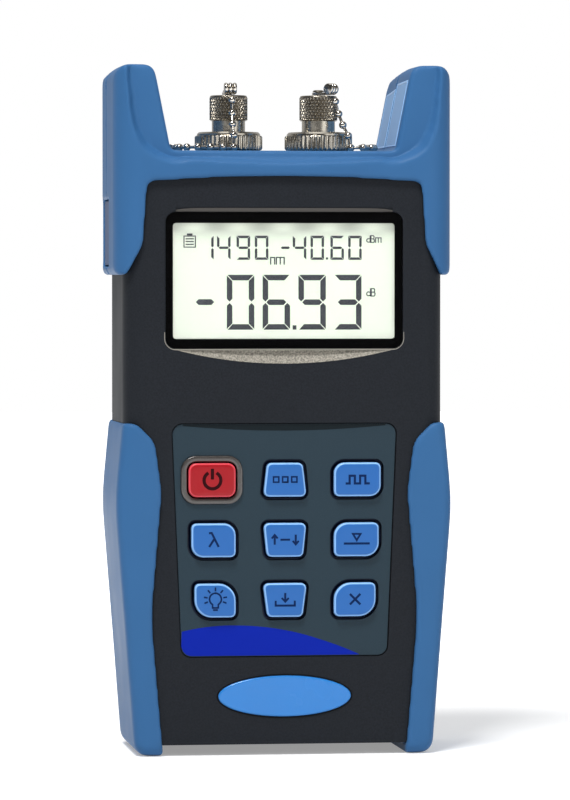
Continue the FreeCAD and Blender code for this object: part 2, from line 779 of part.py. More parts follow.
def make_window():
    """Lens, gasket, display glass, backlight and the frame that holds them on the board."""
    lens = new_body("display_window")
    slab(lens, "lens", [LENS], "lens_face", "gasket_face")
    gasket = new_body("window_gasket")
    inner = centred("lens_wide - 2 * gasket_wide", "lens_low_z + gasket_wide",
                    "lens_tall - 2 * gasket_wide", "lens_round")
    slab(gasket, "gasket", [LENS, inner], "gasket_face", "ledge_face")
    glass = new_body("lcd_glass")
    glass_loop = centred("glass_wide", "lens_mid_z - glass_tall / 2", "glass_tall")
    slab(glass, "glass", [glass_loop], "glass_face", "glass_back")
    light = new_body("lcd_backlight")
    slab(light, "backlight", [glass_loop], "glass_back", "board_y")
    frame = new_body("lcd_frame")
    hole = centred("glass_wide + 0.3", "lens_mid_z - glass_tall / 2 - 0.15", "glass_tall + 0.3")
    outside = centred("glass_wide + 2 * frame_wall", "lens_mid_z - glass_tall / 2 - frame_wall",
                      "glass_tall + 2 * frame_wall", "1")
    slab(frame, "frame", [outside, hole], "glass_face", "board_y")
    return [lens, gasket, glass, light, frame]


def make_keypad():
    """Overlay, mat, domes and the bezel round the power key."""
    overlay = new_body("keypad_overlay")
    slab(overlay, "overlay", [mirrored(OVERLAY_HALF)], "overlay_face", "overlay_back")
    for name in KEYS:
        recess(overlay, name + "_window", [key_opening(name)], "overlay_face", "overlay_back")
    bezel = new_body("power_bezel")
    slab(bezel, "bezel", [key_outline("power", "bezel_grow - 0.05"), key_outline("power", "bezel_gap")],
         "shell_face - key_proud / 3", "inner_face")
    places = [key_middle(name) for name in KEYS]
    mat = new_body("keypad_mat")
    sheet_loop = centred("board_wide", "board_screw_low_z + 4", "board_screw_top_z - board_screw_low_z - 8")
    slab(mat, "mat", [sheet_loop] + [circle(x, z, "dome + 0.3") for x, z in places],
         "board_y - mat_thick", "board_y")
    domes = new_body("key_domes")
    slab_group(domes, "dome", [circle(x, z, "dome") for x, z in places], "dome_face", "board_y")
    return [overlay, bezel, mat, domes]


def slab_group(body, name, loops, front, back):
    """Separate solids of the front view in one body."""
    body.AllowCompound = True
    return slab(body, name, loops, front, back)


def make_key(name):
    """A key: its cap in the opening, the skirt that keeps it in and the post over its dome."""
    body = new_body(name + "_key")
    slab(body, name + "_cap", [key_outline(name)], "key_face", "skirt_back")
    grow = "bezel_grow + key_skirt" if name == "power" else "key_gap + key_skirt"
    slab(body, name + "_skirt", [key_outline(name, grow)], "skirt_face", "skirt_back")
    x, z = key_middle(name)
    slab(body, name + "_post", [circle(x, z, "key_post")], "skirt_back - 0.2", "post_back")
    crown = size("key_face")
    round_edges(body, name + "_crown", "0.5", lambda middle, edge: abs(middle.y - crown) < 0.01)
    return body


def make_inlay():
    """The long oval inlay at the bottom of the front."""
    body = new_body("oval_inlay")
    slab(body, "inlay", [inlay_loop("0")], "shell_face - inlay_proud", "shell_face + inlay_deep")
    crown = size("shell_face - inlay_proud")
    round_edges(body, "inlay_crown", "0.45", lambda middle, edge: abs(middle.y - crown) < 0.01)
    return body


# ---------------------------------------------------------------- inner pieces

def make_board():
    """The main board with its screw holes, its chips and its screws."""
    board = new_body("main_pcb")
    loop = box_outline("-board_wide / 2", "board_low_z", "board_wide / 2", "board_top_z", "1.5")
    holes = [circle(x, z, "board_screw + 0.2") for x, z in board_screw_places()]
    slab(board, "board", [loop] + holes, "board_y", "board_back")
    chips = new_body("pcb_chips")
    processor = box_outline("-7", "84", "7", "98", "0")
    amplifier = box_outline("10", "108", "18", "114", "0")
    memory = box_outline("-20", "106", "-11", "112", "0")
    slab_group(chips, "chips", [processor, amplifier, memory], "board_back", "board_back + 1.2")
    screws = new_body("pcb_screws")
    slab_group(screws, "shanks", [circle(x, z, "board_screw") for x, z in board_screw_places()],
               "board_y - 3.5", "board_back + 0.2")
    slab_group(screws, "heads", [circle(x, z, "board_screw * 1.9") for x, z in board_screw_places()],
               "board_back", "board_back + 1.2")
    return [board, chips, screws]


def make_case_screws():
    """Four screws from the back into the front shell's bosses."""
    body = new_body("case_screws")
    slab_group(body, "case_shanks", [circle(x, z, "case_screw") for x, z in boss_places()],
               "seam_y - 9", "shell_deep / 2 - screw_sink + 0.2")
    slab_group(body, "case_heads", [circle(x, z, "screw_head") for x, z in boss_places()],
               "shell_deep / 2 - screw_sink", "shell_deep / 2 - screw_sink + 2")
    return body


def make_cells():
    """Three cells with their springs and contact plates."""
    objects = []
    for index in (1, 2, 3):
        x = "%d * cell_pitch" % (index - 2)
        body = new_body("cell_%d" % index, x, "cell_y")
        turned(body, "cell_%d_can" % index, [
            ("0", "cell_low_z"), ("cell", "cell_low_z", "0.6"), ("cell", "cell_low_z + cell_tall", "0.6"),
            ("cell_nub", "cell_low_z + cell_tall"), ("cell_nub", "cell_low_z + cell_tall + cell_nub_tall"),
            ("0", "cell_low_z + cell_tall + cell_nub_tall")])
        objects.append(body)
    springs = new_body("cell_springs")
    springs.AllowCompound = True
    contacts = new_body("cell_contacts")
    contacts.AllowCompound = True
    low = "door_low_z + door_ledge"
    high = "door_top_z - door_ledge"
    places = ["%d * cell_pitch" % index for index in (-1, 0, 1)]
    post(springs, "springs", [circle(x, "cell_y", "3.2") for x in places]
         + [circle(x, "cell_y", "2.6") for x in places], low, "cell_low_z")
    post(contacts, "contacts", [box_outline(x + " - 5", "cell_y - 5", x + " + 5", "cell_y + 5", "1")
                                for x in places], "cell_low_z + cell_tall + cell_nub_tall", high)
    return objects + [springs, contacts]


def make_door():
    """The battery door, hung along its top edge."""
    body = new_body("battery_door")
    slab(body, "door", [battery_loop("0")], "door_face", "shell_deep / 2")
    grooves = [box_outline("-9", "door_low_z + %d" % (4 + 2 * step), "9", "door_low_z + %d" % (5 + 2 * step))
               for step in range(4)]
    recess(body, "door_grooves", grooves, "shell_deep / 2 - 0.5", "shell_deep / 2")
    return body


def make_bay():
    """The socket in the left side and the flap over it."""
    socket = new_body("usb_socket")
    post(socket, "socket", [box_outline("-shell_wide / 2 + wall", "bay_mid_y - socket_deep / 2 - 3",
                                        "-shell_wide / 2 + wall + socket_long",
                                        "bay_mid_y + socket_deep / 2 + 3")],
         "bay_mid_z - socket_tall / 2 - 3.4", "bay_mid_z + socket_tall / 2 + 3.4")
    side_recess(socket, "socket_mouth", [box_outline("bay_mid_y - socket_deep / 2", "bay_mid_z - socket_tall / 2",
                                                     "bay_mid_y + socket_deep / 2", "bay_mid_z + socket_tall / 2",
                                                     "0.8")],
                "-shell_wide / 2 + wall", "-shell_wide / 2 + wall + socket_long - 1")
    flap = new_body("port_cover")
    feature = flap.newObject("PartDesign::Pad", "flap")
    feature.Profile = new_sketch(flap, "flap", "YZ_Plane", "-wide / 2 + flap_set", [bay_loop("flap_gap")])
    feature.setExpression("Length", bound("flap_thick"))
    return [socket, flap]


# ---------------------------------------------------------------- ports, caps and chains

def ring_loop():
    """The toothed outline of the knurled ring, from above."""
    teeth = int(SIZES["ring_teeth"])
    corners = []
    for step in range(2 * teeth):
        radius = "ring" if step % 2 else "(ring - tooth_deep)"
        angle = 180.0 / teeth * step
        corners.append(("%s * cos(%.4f)" % (radius, angle), "%s * sin(%.4f)" % (radius, angle)))
    return corners


def make_port(side, x, y):
    """Barrel, knurled ring, FC adapter with its nose and keyway, split sleeve and sensor."""
    barrel = new_body(side + "_port_barrel", x, y)
    turned(barrel, side + "_barrel", [
        ("barrel_bore", "barrel_low_z"), ("barrel_flange", "barrel_low_z"),
        ("barrel_flange", "barrel_low_z + barrel_flange_thick"),
        ("barrel", "barrel_low_z + barrel_flange_thick"),
        ("barrel", "barrel_top_z"), ("barrel_bore", "barrel_top_z")])
    ring = new_body(side + "_adapter_ring", x, y)
    post(ring, side + "_ring", [ring_loop(), circle("0", "0", "neck + ring_gap")], "ring_low_z", "ring_top_z")
    pit(ring, side + "_ring_bore", [circle("0", "0", "barrel + ring_gap")],
        "ring_low_z", "ring_top_z - ring_web")
    adapter = new_body(side + "_fc_adapter", x, y)
    turned(adapter, side + "_adapter", [
        ("bore + sleeve_wall", "barrel_top_z"), ("flange", "barrel_top_z"), ("flange", "flange_top_z"),
        ("neck", "flange_top_z"), ("neck", "neck_top_z"), ("nose", "neck_top_z"), ("nose", "nose_top_z"),
        ("bore + sleeve_wall", "nose_top_z")])
    pit(adapter, side + "_keyway", [box_outline("-key_slot", "nose - 1.2", "key_slot", "nose + 1")],
        "nose_top_z - 2.5", "nose_top_z")
    sleeve = new_body(side + "_split_sleeve", x, y)
    post(sleeve, side + "_sleeve", [circle("0", "0", "bore + sleeve_wall"), circle("0", "0", "bore")],
         "barrel_top_z", "nose_top_z - 0.5")
    pit(sleeve, side + "_sleeve_slot", [box_outline("0", "-0.15", "bore + sleeve_wall + 1", "0.15")],
        "barrel_top_z", "nose_top_z - 0.5")
    return [barrel, ring, adapter, sleeve]


def make_cap(side, x, y, turn):
    """Dust cap with its rivet, and the swivel strip with the clasp that grips the chain."""
    cap = new_body(side + "_dust_cap", x, y)
    turned(cap, side + "_cap", [
        ("nose + cap_gap", "neck_top_z"), ("cap", "neck_top_z", "0.3"), ("cap", "cap_top_z", "cap_round"),
        ("rivet", "cap_top_z"), ("rivet", "rivet_top_z"), ("rivet_head", "rivet_top_z"),
        ("rivet_head", "rivet_top_z + rivet_head_tall", "0.3"), ("0", "rivet_top_z + rivet_head_tall"),
        ("0", "cap_top_z - cap_roof"), ("nose + cap_gap", "cap_top_z - cap_roof")])
    swivel = new_body(side + "_cap_swivel", x, y, turn=turn)
    end = "clasp_set + clasp_long"
    strip = [("-strip_wide / 2", "-strip_wide / 2", "strip_wide / 2 - 0.05"), (end, "-strip_wide / 2"),
             (end, "strip_wide / 2"), ("-strip_wide / 2", "strip_wide / 2", "strip_wide / 2 - 0.05")]
    post(swivel, side + "_strip", [strip, circle("0", "0", "rivet + 0.15")], "strip_z", "strip_z + strip_thick")
    clasp = box_outline("clasp_set", "-strip_wide / 2", end, "strip_wide / 2")
    post(swivel, side + "_clasp", [clasp], "strip_z", "strip_z + clasp_tall")
    return [cap, swivel]


# ball centres of each chain: across from the middle, depth, height over the deck's top
CHAIN_HANG = {
    "left": [(-11.5, -3.1, 13.2), (-11.5, -3.4, 9.9), (-11.6, -5.0, 7.0), (-11.5, -7.0, 4.1)],
    "right": [(15.4, -1.8, 13.0), (16.2, -2.2, 9.8), (17.1, -3.5, 6.9), (18.3, -4.9, 4.1)],
}
CHAIN_LAY = {
    "left": [(-11.6, -7.9, 1.02), (-14.6, -9.2, 1.02), (-17.8, -9.0, 1.02), (-20.8, -7.6, 1.02),
             (-23.4, -5.6, 1.02), (-25.0, -2.8, 1.02), (-25.4, 0.5, 1.02), (-25.2, 3.8, 1.02),
             (-25.0, 7.1, 1.02)],
    "right": [(18.9, -5.4, 1.02), (21.9, -6.6, 1.02), (24.4, -4.5, 1.02), (25.5, -1.4, 1.02),
              (25.5, 1.9, 1.02), (25.3, 5.1, 1.02), (25.1, 7.6, 1.02)],
}


def chain_pieces(points, tail=None):
    """Loose balls with a short rod between each two; a tail point adds a rod towards it."""
    ball = size("ball")
    gap = size("link_gap")
    centres = [Vector(x, y, size("deck_z") + up) for x, y, up in points]
    ends = centres[1:]
    if tail is not None:
        ends = ends + [Vector(tail[0], tail[1], size("deck_z") + tail[2])]
    pieces = [Part.makeSphere(ball, centre) for centre in centres]
    for start, end in zip(centres, ends):
        along = (end - start).normalize()
        pieces.append(Part.makeCylinder(size("link"), (end - start).Length - 2 * (ball + gap),
                                        start + along * (ball + gap), along))
    return Part.makeCompound(pieces)


def make_chain(side):
    """The hanging and the lying stretch of one ball chain, and its anchor on the deck."""
    hang = doc.addObject("Part::Feature", side + "_chain_hang")
    hang.Shape = chain_pieces(CHAIN_HANG[side], tail=CHAIN_LAY[side][0])
    lay = doc.addObject("Part::Feature", side + "_chain_lay")
    lay.Shape = chain_pieces(CHAIN_LAY[side])
    sign = -1 if side == "left" else 1
    anchor = new_body(side + "_chain_anchor", "%d * anchor_x" % sign, "anchor_y")
    turned(anchor, side + "_anchor", [
        ("0", "deck_z"), ("anchor", "deck_z"), ("anchor", "deck_z + 0.6"), ("anchor * 0.55", "deck_z + 0.6"),
        ("anchor * 0.55", "deck_z + 1.6"), ("anchor", "deck_z + 1.6"), ("anchor", "deck_z + 2.2", "0.3"),
        ("0", "deck_z + 2.2")])
    return [hang, lay, anchor]


def make_sensors():
    """The detector and the laser, in cans inside the barrels."""
    objects = []
    for label, (side, x, y) in zip(("photodiode", "laser_module"), port_places()):
        body = new_body(label, x, y)
        low = "barrel_low_z"
        turned(body, label + "_can", [
            ("0", low), ("barrel_bore", low), ("barrel_bore", low + " + 1.2"), ("sensor", low + " + 1.2"),
            ("sensor", low + " + 1.2 + sensor_tall"), ("0", low + " + 1.2 + sensor_tall")])
        objects.append(body)
    return objects


def make_all():
    """Every node of the meter."""
    shell_form = shell_block("shell_form", "shell_face", "shell_deep / 2")
    nodes = [make_front_shell(), make_rear_shell()]
    nodes += make_guard(guard_form(), shell_form)
    nodes += [make_grip("left_grip", -1, shell_form), make_grip("right_grip", 1, shell_form)]
    nodes += make_window()
    nodes += make_keypad()
    nodes += [make_key(name) for name in KEYS]
    nodes += [make_inlay()]
    nodes += make_board()
    nodes += [make_case_screws()]
    nodes += make_cells()
    nodes += [make_door()]
    nodes += make_bay()
    for (side, x, y), turn in zip(port_places(), (-90, -42)):
        nodes += make_port(side, x, y)
        nodes += make_cap(side, x, y, turn)
        nodes += make_chain(side)
    nodes += make_sensors()
    return nodes


def write_nodes(nodes):
    """Check the document and every node, then write each node's STEP file."""
    doc.recompute()
    for item in doc.Objects:
        if "Invalid" in item.State or "Error" in item.State:
            raise RuntimeError("%s failed: %s" % (item.Label, item.State))
    for node in nodes:
        if node.Shape.isNull() or not node.Shape.isValid() or not node.Shape.Solids:
            raise RuntimeError("%s has no valid solid" % node.Label)
    os.makedirs("parts", exist_ok=True)
    for node in nodes:
        node.Shape.exportStep("parts/%s.step" % node.Label)
    print("wrote %d nodes" % len(nodes))


write_nodes(make_all())
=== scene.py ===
"""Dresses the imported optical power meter: soft mouldings, window, display, keypad, ports and finishes.

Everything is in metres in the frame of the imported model: +Z up along the meter, its front
looks along -Y, and the origin is on the floor under its middle. Sizes are written in
millimetres and scaled by MM.
"""
from __future__ import annotations

import json
import logging
import math
from dataclasses import dataclass
from enum import Enum

import bmesh
import bpy
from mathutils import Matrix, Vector
from mathutils.bvhtree import BVHTree

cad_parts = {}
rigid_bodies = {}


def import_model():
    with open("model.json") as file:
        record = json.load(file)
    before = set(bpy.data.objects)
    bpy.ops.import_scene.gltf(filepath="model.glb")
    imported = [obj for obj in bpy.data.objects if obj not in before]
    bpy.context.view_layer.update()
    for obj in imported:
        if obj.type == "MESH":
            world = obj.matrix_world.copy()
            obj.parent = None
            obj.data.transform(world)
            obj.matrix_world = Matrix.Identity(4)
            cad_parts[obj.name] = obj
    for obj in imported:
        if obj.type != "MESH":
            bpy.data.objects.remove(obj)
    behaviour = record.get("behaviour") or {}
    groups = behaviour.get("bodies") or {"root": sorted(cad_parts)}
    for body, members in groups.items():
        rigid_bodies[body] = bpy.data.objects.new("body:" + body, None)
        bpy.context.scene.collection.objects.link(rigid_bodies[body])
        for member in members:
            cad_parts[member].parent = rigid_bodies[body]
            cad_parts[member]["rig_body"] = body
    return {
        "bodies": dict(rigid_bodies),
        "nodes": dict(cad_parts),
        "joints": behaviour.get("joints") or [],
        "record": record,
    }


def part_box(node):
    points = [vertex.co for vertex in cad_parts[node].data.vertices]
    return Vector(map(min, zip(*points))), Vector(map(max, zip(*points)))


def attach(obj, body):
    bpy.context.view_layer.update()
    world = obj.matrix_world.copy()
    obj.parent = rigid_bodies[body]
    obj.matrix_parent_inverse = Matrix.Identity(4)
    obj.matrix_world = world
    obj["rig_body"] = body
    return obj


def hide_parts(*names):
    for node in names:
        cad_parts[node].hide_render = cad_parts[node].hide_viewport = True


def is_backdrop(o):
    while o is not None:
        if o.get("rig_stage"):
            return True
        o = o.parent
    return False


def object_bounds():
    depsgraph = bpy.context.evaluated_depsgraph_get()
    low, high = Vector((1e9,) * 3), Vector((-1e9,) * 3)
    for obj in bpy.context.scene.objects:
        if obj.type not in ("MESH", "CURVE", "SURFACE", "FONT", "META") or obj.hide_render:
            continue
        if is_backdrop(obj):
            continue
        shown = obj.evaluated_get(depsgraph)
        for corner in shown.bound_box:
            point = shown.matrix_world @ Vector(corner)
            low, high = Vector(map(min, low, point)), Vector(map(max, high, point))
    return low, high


LOG = logging.getLogger("power_meter")
MM = 0.001
PER_MM = 1000.0  # a pattern of one period in a millimetre
PLASTIC_IOR = 1.49
Point = tuple[float, float]
Spot = tuple[float, float, float]


# ---------------------------------------------------------------- small helpers

def linear(code: str) -> tuple[float, float, float, float]:
    """Turn an sRGB hex colour to linear.

    Args:
        code: Six hex digits, such as "3F72AC".

    Returns:
        Red, green, blue and an alpha of 1.
    """
    shares = [int(code[i:i + 2], 16) / 255.0 for i in (0, 2, 4)]
    return tuple(s / 12.92 if s <= 0.04045 else ((s + 0.055) / 1.055) ** 2.4 for s in shares) + (1.0,)


def fill(tree: bpy.types.NodeTree, node: bpy.types.Node, inputs: dict) -> None:
    """Set or link inputs of a node.

    Args:
        tree: The material's node tree.
        node: The node.
        inputs: Values, output sockets, or nodes for their first output, by input name or number.
    """
    for name, value in inputs.items():
        if isinstance(value, bpy.types.Node):
            value = value.outputs[0]
        if isinstance(value, bpy.types.NodeSocket):
            tree.links.new(value, node.inputs[name])
        else:
            node.inputs[name].default_value = value


def add_node(tree: bpy.types.NodeTree, kind: str, inputs: dict | None = None, **settings: object) -> bpy.types.Node:
    """Add one shader node with its settings, values and links.

    Args:
        tree: The material's node tree.
        kind: The node's type name after its ShaderNode.
        inputs: What goes into it, as in fill.
        **settings: Attributes of the node.

    Returns:
        The new node.
    """
    node = tree.nodes.new("ShaderNode" + kind)
    for name, value in settings.items():
        setattr(node, name, value)
    fill(tree, node, inputs or {})
    return node


def arc(x: float, z: float, radius: float, start: float, end: float, steps: int = 16) -> list[Point]:
    """Points of an arc between two angles in degrees."""
    return [(x + radius * math.cos(math.radians(start + (end - start) * i / steps)),
             z + radius * math.sin(math.radians(start + (end - start) * i / steps))) for i in range(steps + 1)]


def oval(x: float, z: float, wide: float, tall: float, steps: int) -> list[Point]:
    """Points of an oval about a middle, with its half width and half height."""
    return [(x + wide * math.cos(2 * math.pi * i / steps), z + tall * math.sin(2 * math.pi * i / steps))
            for i in range(steps)]


def rounded_box(left: float, low: float, right: float, high: float, radius: float) -> list[Point]:
    """The outline of a rounded rectangle.

    Args:
        left: Its left side in millimetres.
        low: Its foot.
        right: Its right side.
        high: Its top.
        radius: Its corners' radius.

    Returns:
        The points, turning to the left from the lower left corner.
    """
    left, low, right, high = left + radius, low + radius, right - radius, high - radius
    corners = ((left, low, 180), (right, low, 270), (right, high, 0), (left, high, 90))
    return [point for x, z, start in corners for point in arc(x, z, radius, start, start + 90, 8)]


def mix(one: list[Point], two: list[Point], share: float) -> list[Point]:
    """Points between two outlines with as many points each."""
    return [(a[0] + (b[0] - a[0]) * share, a[1] + (b[1] - a[1]) * share) for a, b in zip(one, two)]


def turned(middle: Vector, radii: list[float], z: float) -> list[Spot]:
    """Points once round an upright axis at one height, with a radius for each."""
    angles = [2 * math.pi * i / len(radii) for i in range(len(radii))]
    return [(middle.x + r * math.cos(a), middle.y + r * math.sin(a), z) for r, a in zip(radii, angles)]


def stroke(points: list[Point], wide: float, closed: bool = False) -> list[list[Point]]:
    """Quads that draw a line of some width through points, mitred at its corners.

    Args:
        points: The line's points in millimetres.
        wide: The line's width.
        closed: Whether the last point joins the first.

    Returns:
        One four-cornered outline for each run.
    """
    count = len(points)
    sides = []
    for i, (x, z) in enumerate(points):
        before = points[i - 1] if closed or i else None
        after = points[(i + 1) % count] if closed or i < count - 1 else None
        runs = ((before, (x, z)), ((x, z), after))
        ways = [Vector((b[0] - a[0], b[1] - a[1])).normalized() for a, b in runs if a and b]
        across = sum((Vector((-way.y, way.x)) for way in ways), Vector((0, 0))).normalized()
        reach = wide / 2 / max(0.45, across.dot(Vector((-ways[0].y, ways[0].x))))
        end = Vector((0, 0)) if len(ways) > 1 else ways[0] * (wide * 0.3 if before else -wide * 0.3)
        sides.append(((x + across.x * reach + end.x, z + across.y * reach + end.y),
                      (x - across.x * reach + end.x, z - across.y * reach + end.y)))
    pairs = list(zip(sides, sides[1:] + sides[:1] if closed else sides[1:]))
    return [[right0, right1, left1, left0] for (left0, right0), (left1, right1) in pairs]


class Builder:
    """Collects faces in millimetres and turns them into one named piece."""

    def __init__(self, name: str) -> None:
        """Start an empty piece.

        Args:
            name: The piece's name in the scene.
        """
        self.name = name
        self.mesh = bmesh.new()

    def corners(self, points: list[Spot]) -> list[bmesh.types.BMVert]:
        """Add points given in millimetres."""
        return [self.mesh.verts.new((x * MM, y * MM, z * MM)) for x, y, z in points]

    def plate(self, outline: list[Point], front: float, back: float) -> None:
        """Add a plate between two depths.

        Args:
            outline: Its front view, across and up.
            front: Depth of its face.
            back: Depth of its back.
        """
        near = self.corners([(x, front, z) for x, z in outline])
        far = self.corners([(x, back, z) for x, z in outline])
        self.mesh.faces.new(near)
        self.mesh.faces.new(far[::-1])
        for i in range(len(outline)):
            j = (i + 1) % len(outline)
            self.mesh.faces.new((near[i], far[i], far[j], near[j]))

    def rows(self, rows: list[list[Spot]], around: bool = True) -> None:
        """Add a net of quads through rows of points.

        Args:
            rows: Rows with as many points each, in millimetres.
            around: Whether each row closes on itself.
        """
        nets = [self.corners(row) for row in rows]
        count = len(rows[0])
        for low, high in zip(nets, nets[1:]):
            for i in range(count if around else count - 1):
                j = (i + 1) % count
                self.mesh.faces.new((low[i], low[j], high[j], high[i]))

    def finish(self, finish: "Finish", body: str, replaces: tuple[str, ...] = (),
               smooth: float = 35.0) -> bpy.types.Object:
        """Make the object, dress it and let it ride.

        Args:
            finish: Its finish.
            body: The body it moves with.
            replaces: The nodes it stands for.
            smooth: Edges flatter than this angle in degrees are shaded smooth.

        Returns:
            The finished piece.
        """
        bmesh.ops.remove_doubles(self.mesh, verts=self.mesh.verts, dist=1e-7)
        bmesh.ops.recalc_face_normals(self.mesh, faces=self.mesh.faces)
        data = bpy.data.meshes.new(self.name)
        self.mesh.to_mesh(data)
        self.mesh.free()
        return place(self.name, data, finish, body, replaces, smooth)


def put(name: str, data: bpy.types.ID) -> bpy.types.Object:
    """Put a mesh, lamp or camera in the scene as a new object."""
    made = bpy.data.objects.new(name, data)
    bpy.context.scene.collection.objects.link(made)
    return made


def lay(name: str, rows: list[list[Spot]], finish: "Finish") -> None:
    """Lay an open net of points on the meter as one piece.

    Args:
        name: The piece's name.
        rows: Rows with as many points each, in millimetres.
        finish: Its finish.
    """
    skin = Builder(name)
    skin.rows(rows, around=False)
    skin.finish(finish, "meter")


def place(name: str, data: bpy.types.Mesh, finish: "Finish", body: str, replaces: tuple[str, ...] = (),
          smooth: float = 35.0) -> bpy.types.Object:
    """Make one piece of a mesh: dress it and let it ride.

    Args:
        name: The piece's name.
        data: Its mesh, in place.
        finish: Its finish.
        body: The body it moves with.
        replaces: The nodes it stands for.
        smooth: Edges flatter than this angle in degrees are shaded smooth.

    Returns:
        The piece.
    """
    piece = put(name, data)
    data.materials.clear()
    data.materials.append(finish.material())
    data.shade_smooth()
    data.set_sharp_from_angle(angle=math.radians(smooth))
    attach(piece, body)
    if replaces:
        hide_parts(*replaces)
    LOG.info("piece %s: %d faces", name, len(data.polygons))
    return piece


class Side(Enum):
    """The meter's sides as they are seen from its front."""

    LEFT = "left"
    RIGHT = "right"

    def sign(self) -> int:
        """-1 on the left and 1 on the right."""
        return -1 if self is Side.LEFT else 1


# ---------------------------------------------------------------- finishes

@dataclass(frozen=True)
class Finish:
    """What every finish has: a name, the record's slot, a colour and a roughness."""

    name: str
    slot: str
    tint: str
    roughness: float

    def material(self) -> bpy.types.Material:
        """Make the finish's material, or find it again.

        Returns:
            The material.
        """
        found = bpy.data.materials.get(self.name)
        if found:
            return found
        made = bpy.data.materials.new(self.name)
        made.use_nodes = True
        tree = made.node_tree
        shader = tree.nodes["Principled BSDF"]
        fill(tree, shader, {"Base Color": linear(self.tint), "Roughness": self.roughness})
        made.diffuse_color = linear(self.tint)
        self.dress(tree, shader)
        return made

    def dress(self, tree: bpy.types.NodeTree, shader: bpy.types.Node) -> None:
        """Add what sets this finish apart."""

    def where(self, tree: bpy.types.NodeTree) -> bpy.types.NodeSocket:
        """The place on the part, in metres."""
        return add_node(tree, "TexCoord").outputs["Object"]


@dataclass(frozen=True)
class Moulded(Finish):
    """A moulded or painted surface: its mould's grain, a slow drift of colour, and, where given, a painted highlight
    on its rims and painted shade on what lies below a depth.
    """

    grain_mm: float = 0.5
    grain_deep: float = 0.02
    drift: float = 0.06
    drift_mm: float = 18.0
    coat: float = 0.0
    specks: float = 0.0
    gloss: float = 0.3
    highlight_tint: str = ""
    shade_tint: str = ""
    shade_y: float = 0.0

    def dress(self, tree: bpy.types.NodeTree, shader: bpy.types.Node) -> None:
        """Add grain, drift and specks, and the painted highlight and painted shade where given.

        Args:
            tree: The material's node tree.
            shader: Its principled shader.
        """
        place_on = self.where(tree)
        slow = add_node(tree, "TexNoise", {"Vector": place_on, "Scale": PER_MM / self.drift_mm, "Detail": 3.0})
        fine = add_node(tree, "TexNoise", {"Vector": place_on, "Scale": PER_MM / self.grain_mm, "Detail": 2.0})
        low, high = (tuple(min(1.0, part * share) for part in linear(self.tint)[:3]) + (1.0,)
                     for share in (1 - self.drift, 1 + self.drift))
        colour = add_node(tree, "Mix", {0: slow, 6: low, 7: high}, data_type="RGBA").outputs[2]
        if self.specks:
            spread = add_node(tree, "MapRange", {"Value": fine, 1: 0.35, 2: 0.65,
                                                 3: 1.0 - self.specks, 4: 1.0 + self.specks})
            colour = add_node(tree, "Mix", {0: 1.0, 6: colour, 7: spread},
                              data_type="RGBA", blend_type="MULTIPLY").outputs[2]
        # painted highlight: a paler tint on faces that turn away from the front, that is on every rounded rim
        if self.highlight_tint:
            normal = add_node(tree, "TexCoord").outputs["Normal"]
            facing = add_node(tree, "SeparateXYZ", {0: normal}).outputs["Y"]
            highlight_mask = add_node(tree, "MapRange", {"Value": facing, 1: -0.995, 2: -0.88, 3: 0.0, 4: 1.0},
                            interpolation_type="SMOOTHSTEP")
            colour = add_node(tree, "Mix", {0: highlight_mask, 6: colour, 7: linear(self.highlight_tint)},
                              data_type="RGBA").outputs[2]
        # painted shade: a dark tint on all that lies deeper than the given depth, the sides sunk in the gap round a
        # key
        if self.shade_tint:
            depth = add_node(tree, "SeparateXYZ", {0: place_on}).outputs["Y"]
            sunk = add_node(tree, "MapRange", {"Value": depth, 1: (self.shade_y - 0.15) * MM,
                                               2: (self.shade_y + 0.15) * MM, 3: 0.0, 4: 1.0})
            colour = add_node(tree, "Mix", {0: sunk, 6: colour, 7: linear(self.shade_tint)},
                              data_type="RGBA").outputs[2]
        rough = add_node(tree, "MapRange", {"Value": slow, 1: 0.3, 2: 0.7,
                                            3: self.roughness - 0.04, 4: self.roughness + 0.04})
        bump = add_node(tree, "Bump", {"Height": fine, "Strength": 0.5, "Distance": self.grain_deep * MM})
        fill(tree, shader, {"Base Color": colour, "Roughness": rough, "Normal": bump, "IOR": PLASTIC_IOR,
                            "Specular IOR Level": self.gloss, "Coat Weight": self.coat, "Coat Roughness": 0.2})


@dataclass(frozen=True)
class Plated(Finish):
    """A plated or bare metal: small waves under the plating and fine turning marks."""

    wave_mm: float = 1.5
    marks_mm: float = 0.25
    marks_deep: float = 0.004

    def dress(self, tree: bpy.types.NodeTree, shader: bpy.types.Node) -> None:
        """Add the turning marks and an uneven polish.

        Args:
            tree: The material's node tree.
            shader: Its principled shader.
        """
        place_on = self.where(tree)
        turned = add_node(tree, "Mapping", {"Vector": place_on, "Scale": (0.08, 0.08, 1.0)})
        marks = add_node(tree, "TexNoise", {"Vector": turned, "Scale": PER_MM / self.marks_mm, "Detail": 2.0})
        cloud = add_node(tree, "TexNoise", {"Vector": place_on, "Scale": PER_MM / self.wave_mm, "Detail": 3.0})
        rough = add_node(tree, "MapRange", {"Value": cloud, 1: 0.3, 2: 0.7,
                                            3: max(0.03, self.roughness - 0.06), 4: self.roughness + 0.08})
        bump = add_node(tree, "Bump", {"Height": marks, "Strength": 0.4, "Distance": self.marks_deep * MM})
        fill(tree, shader, {"Roughness": rough, "Normal": bump, "Metallic": 1.0})


@dataclass(frozen=True)
class ClearSheet(Finish):
    """A clear cast sheet with a hard coat."""

    def dress(self, tree: bpy.types.NodeTree, shader: bpy.types.Node) -> None:
        """Let light through.

        Args:
            tree: The material's node tree.
            shader: Its principled shader.
        """
        fill(tree, shader, {"Transmission Weight": 1.0, "IOR": PLASTIC_IOR})


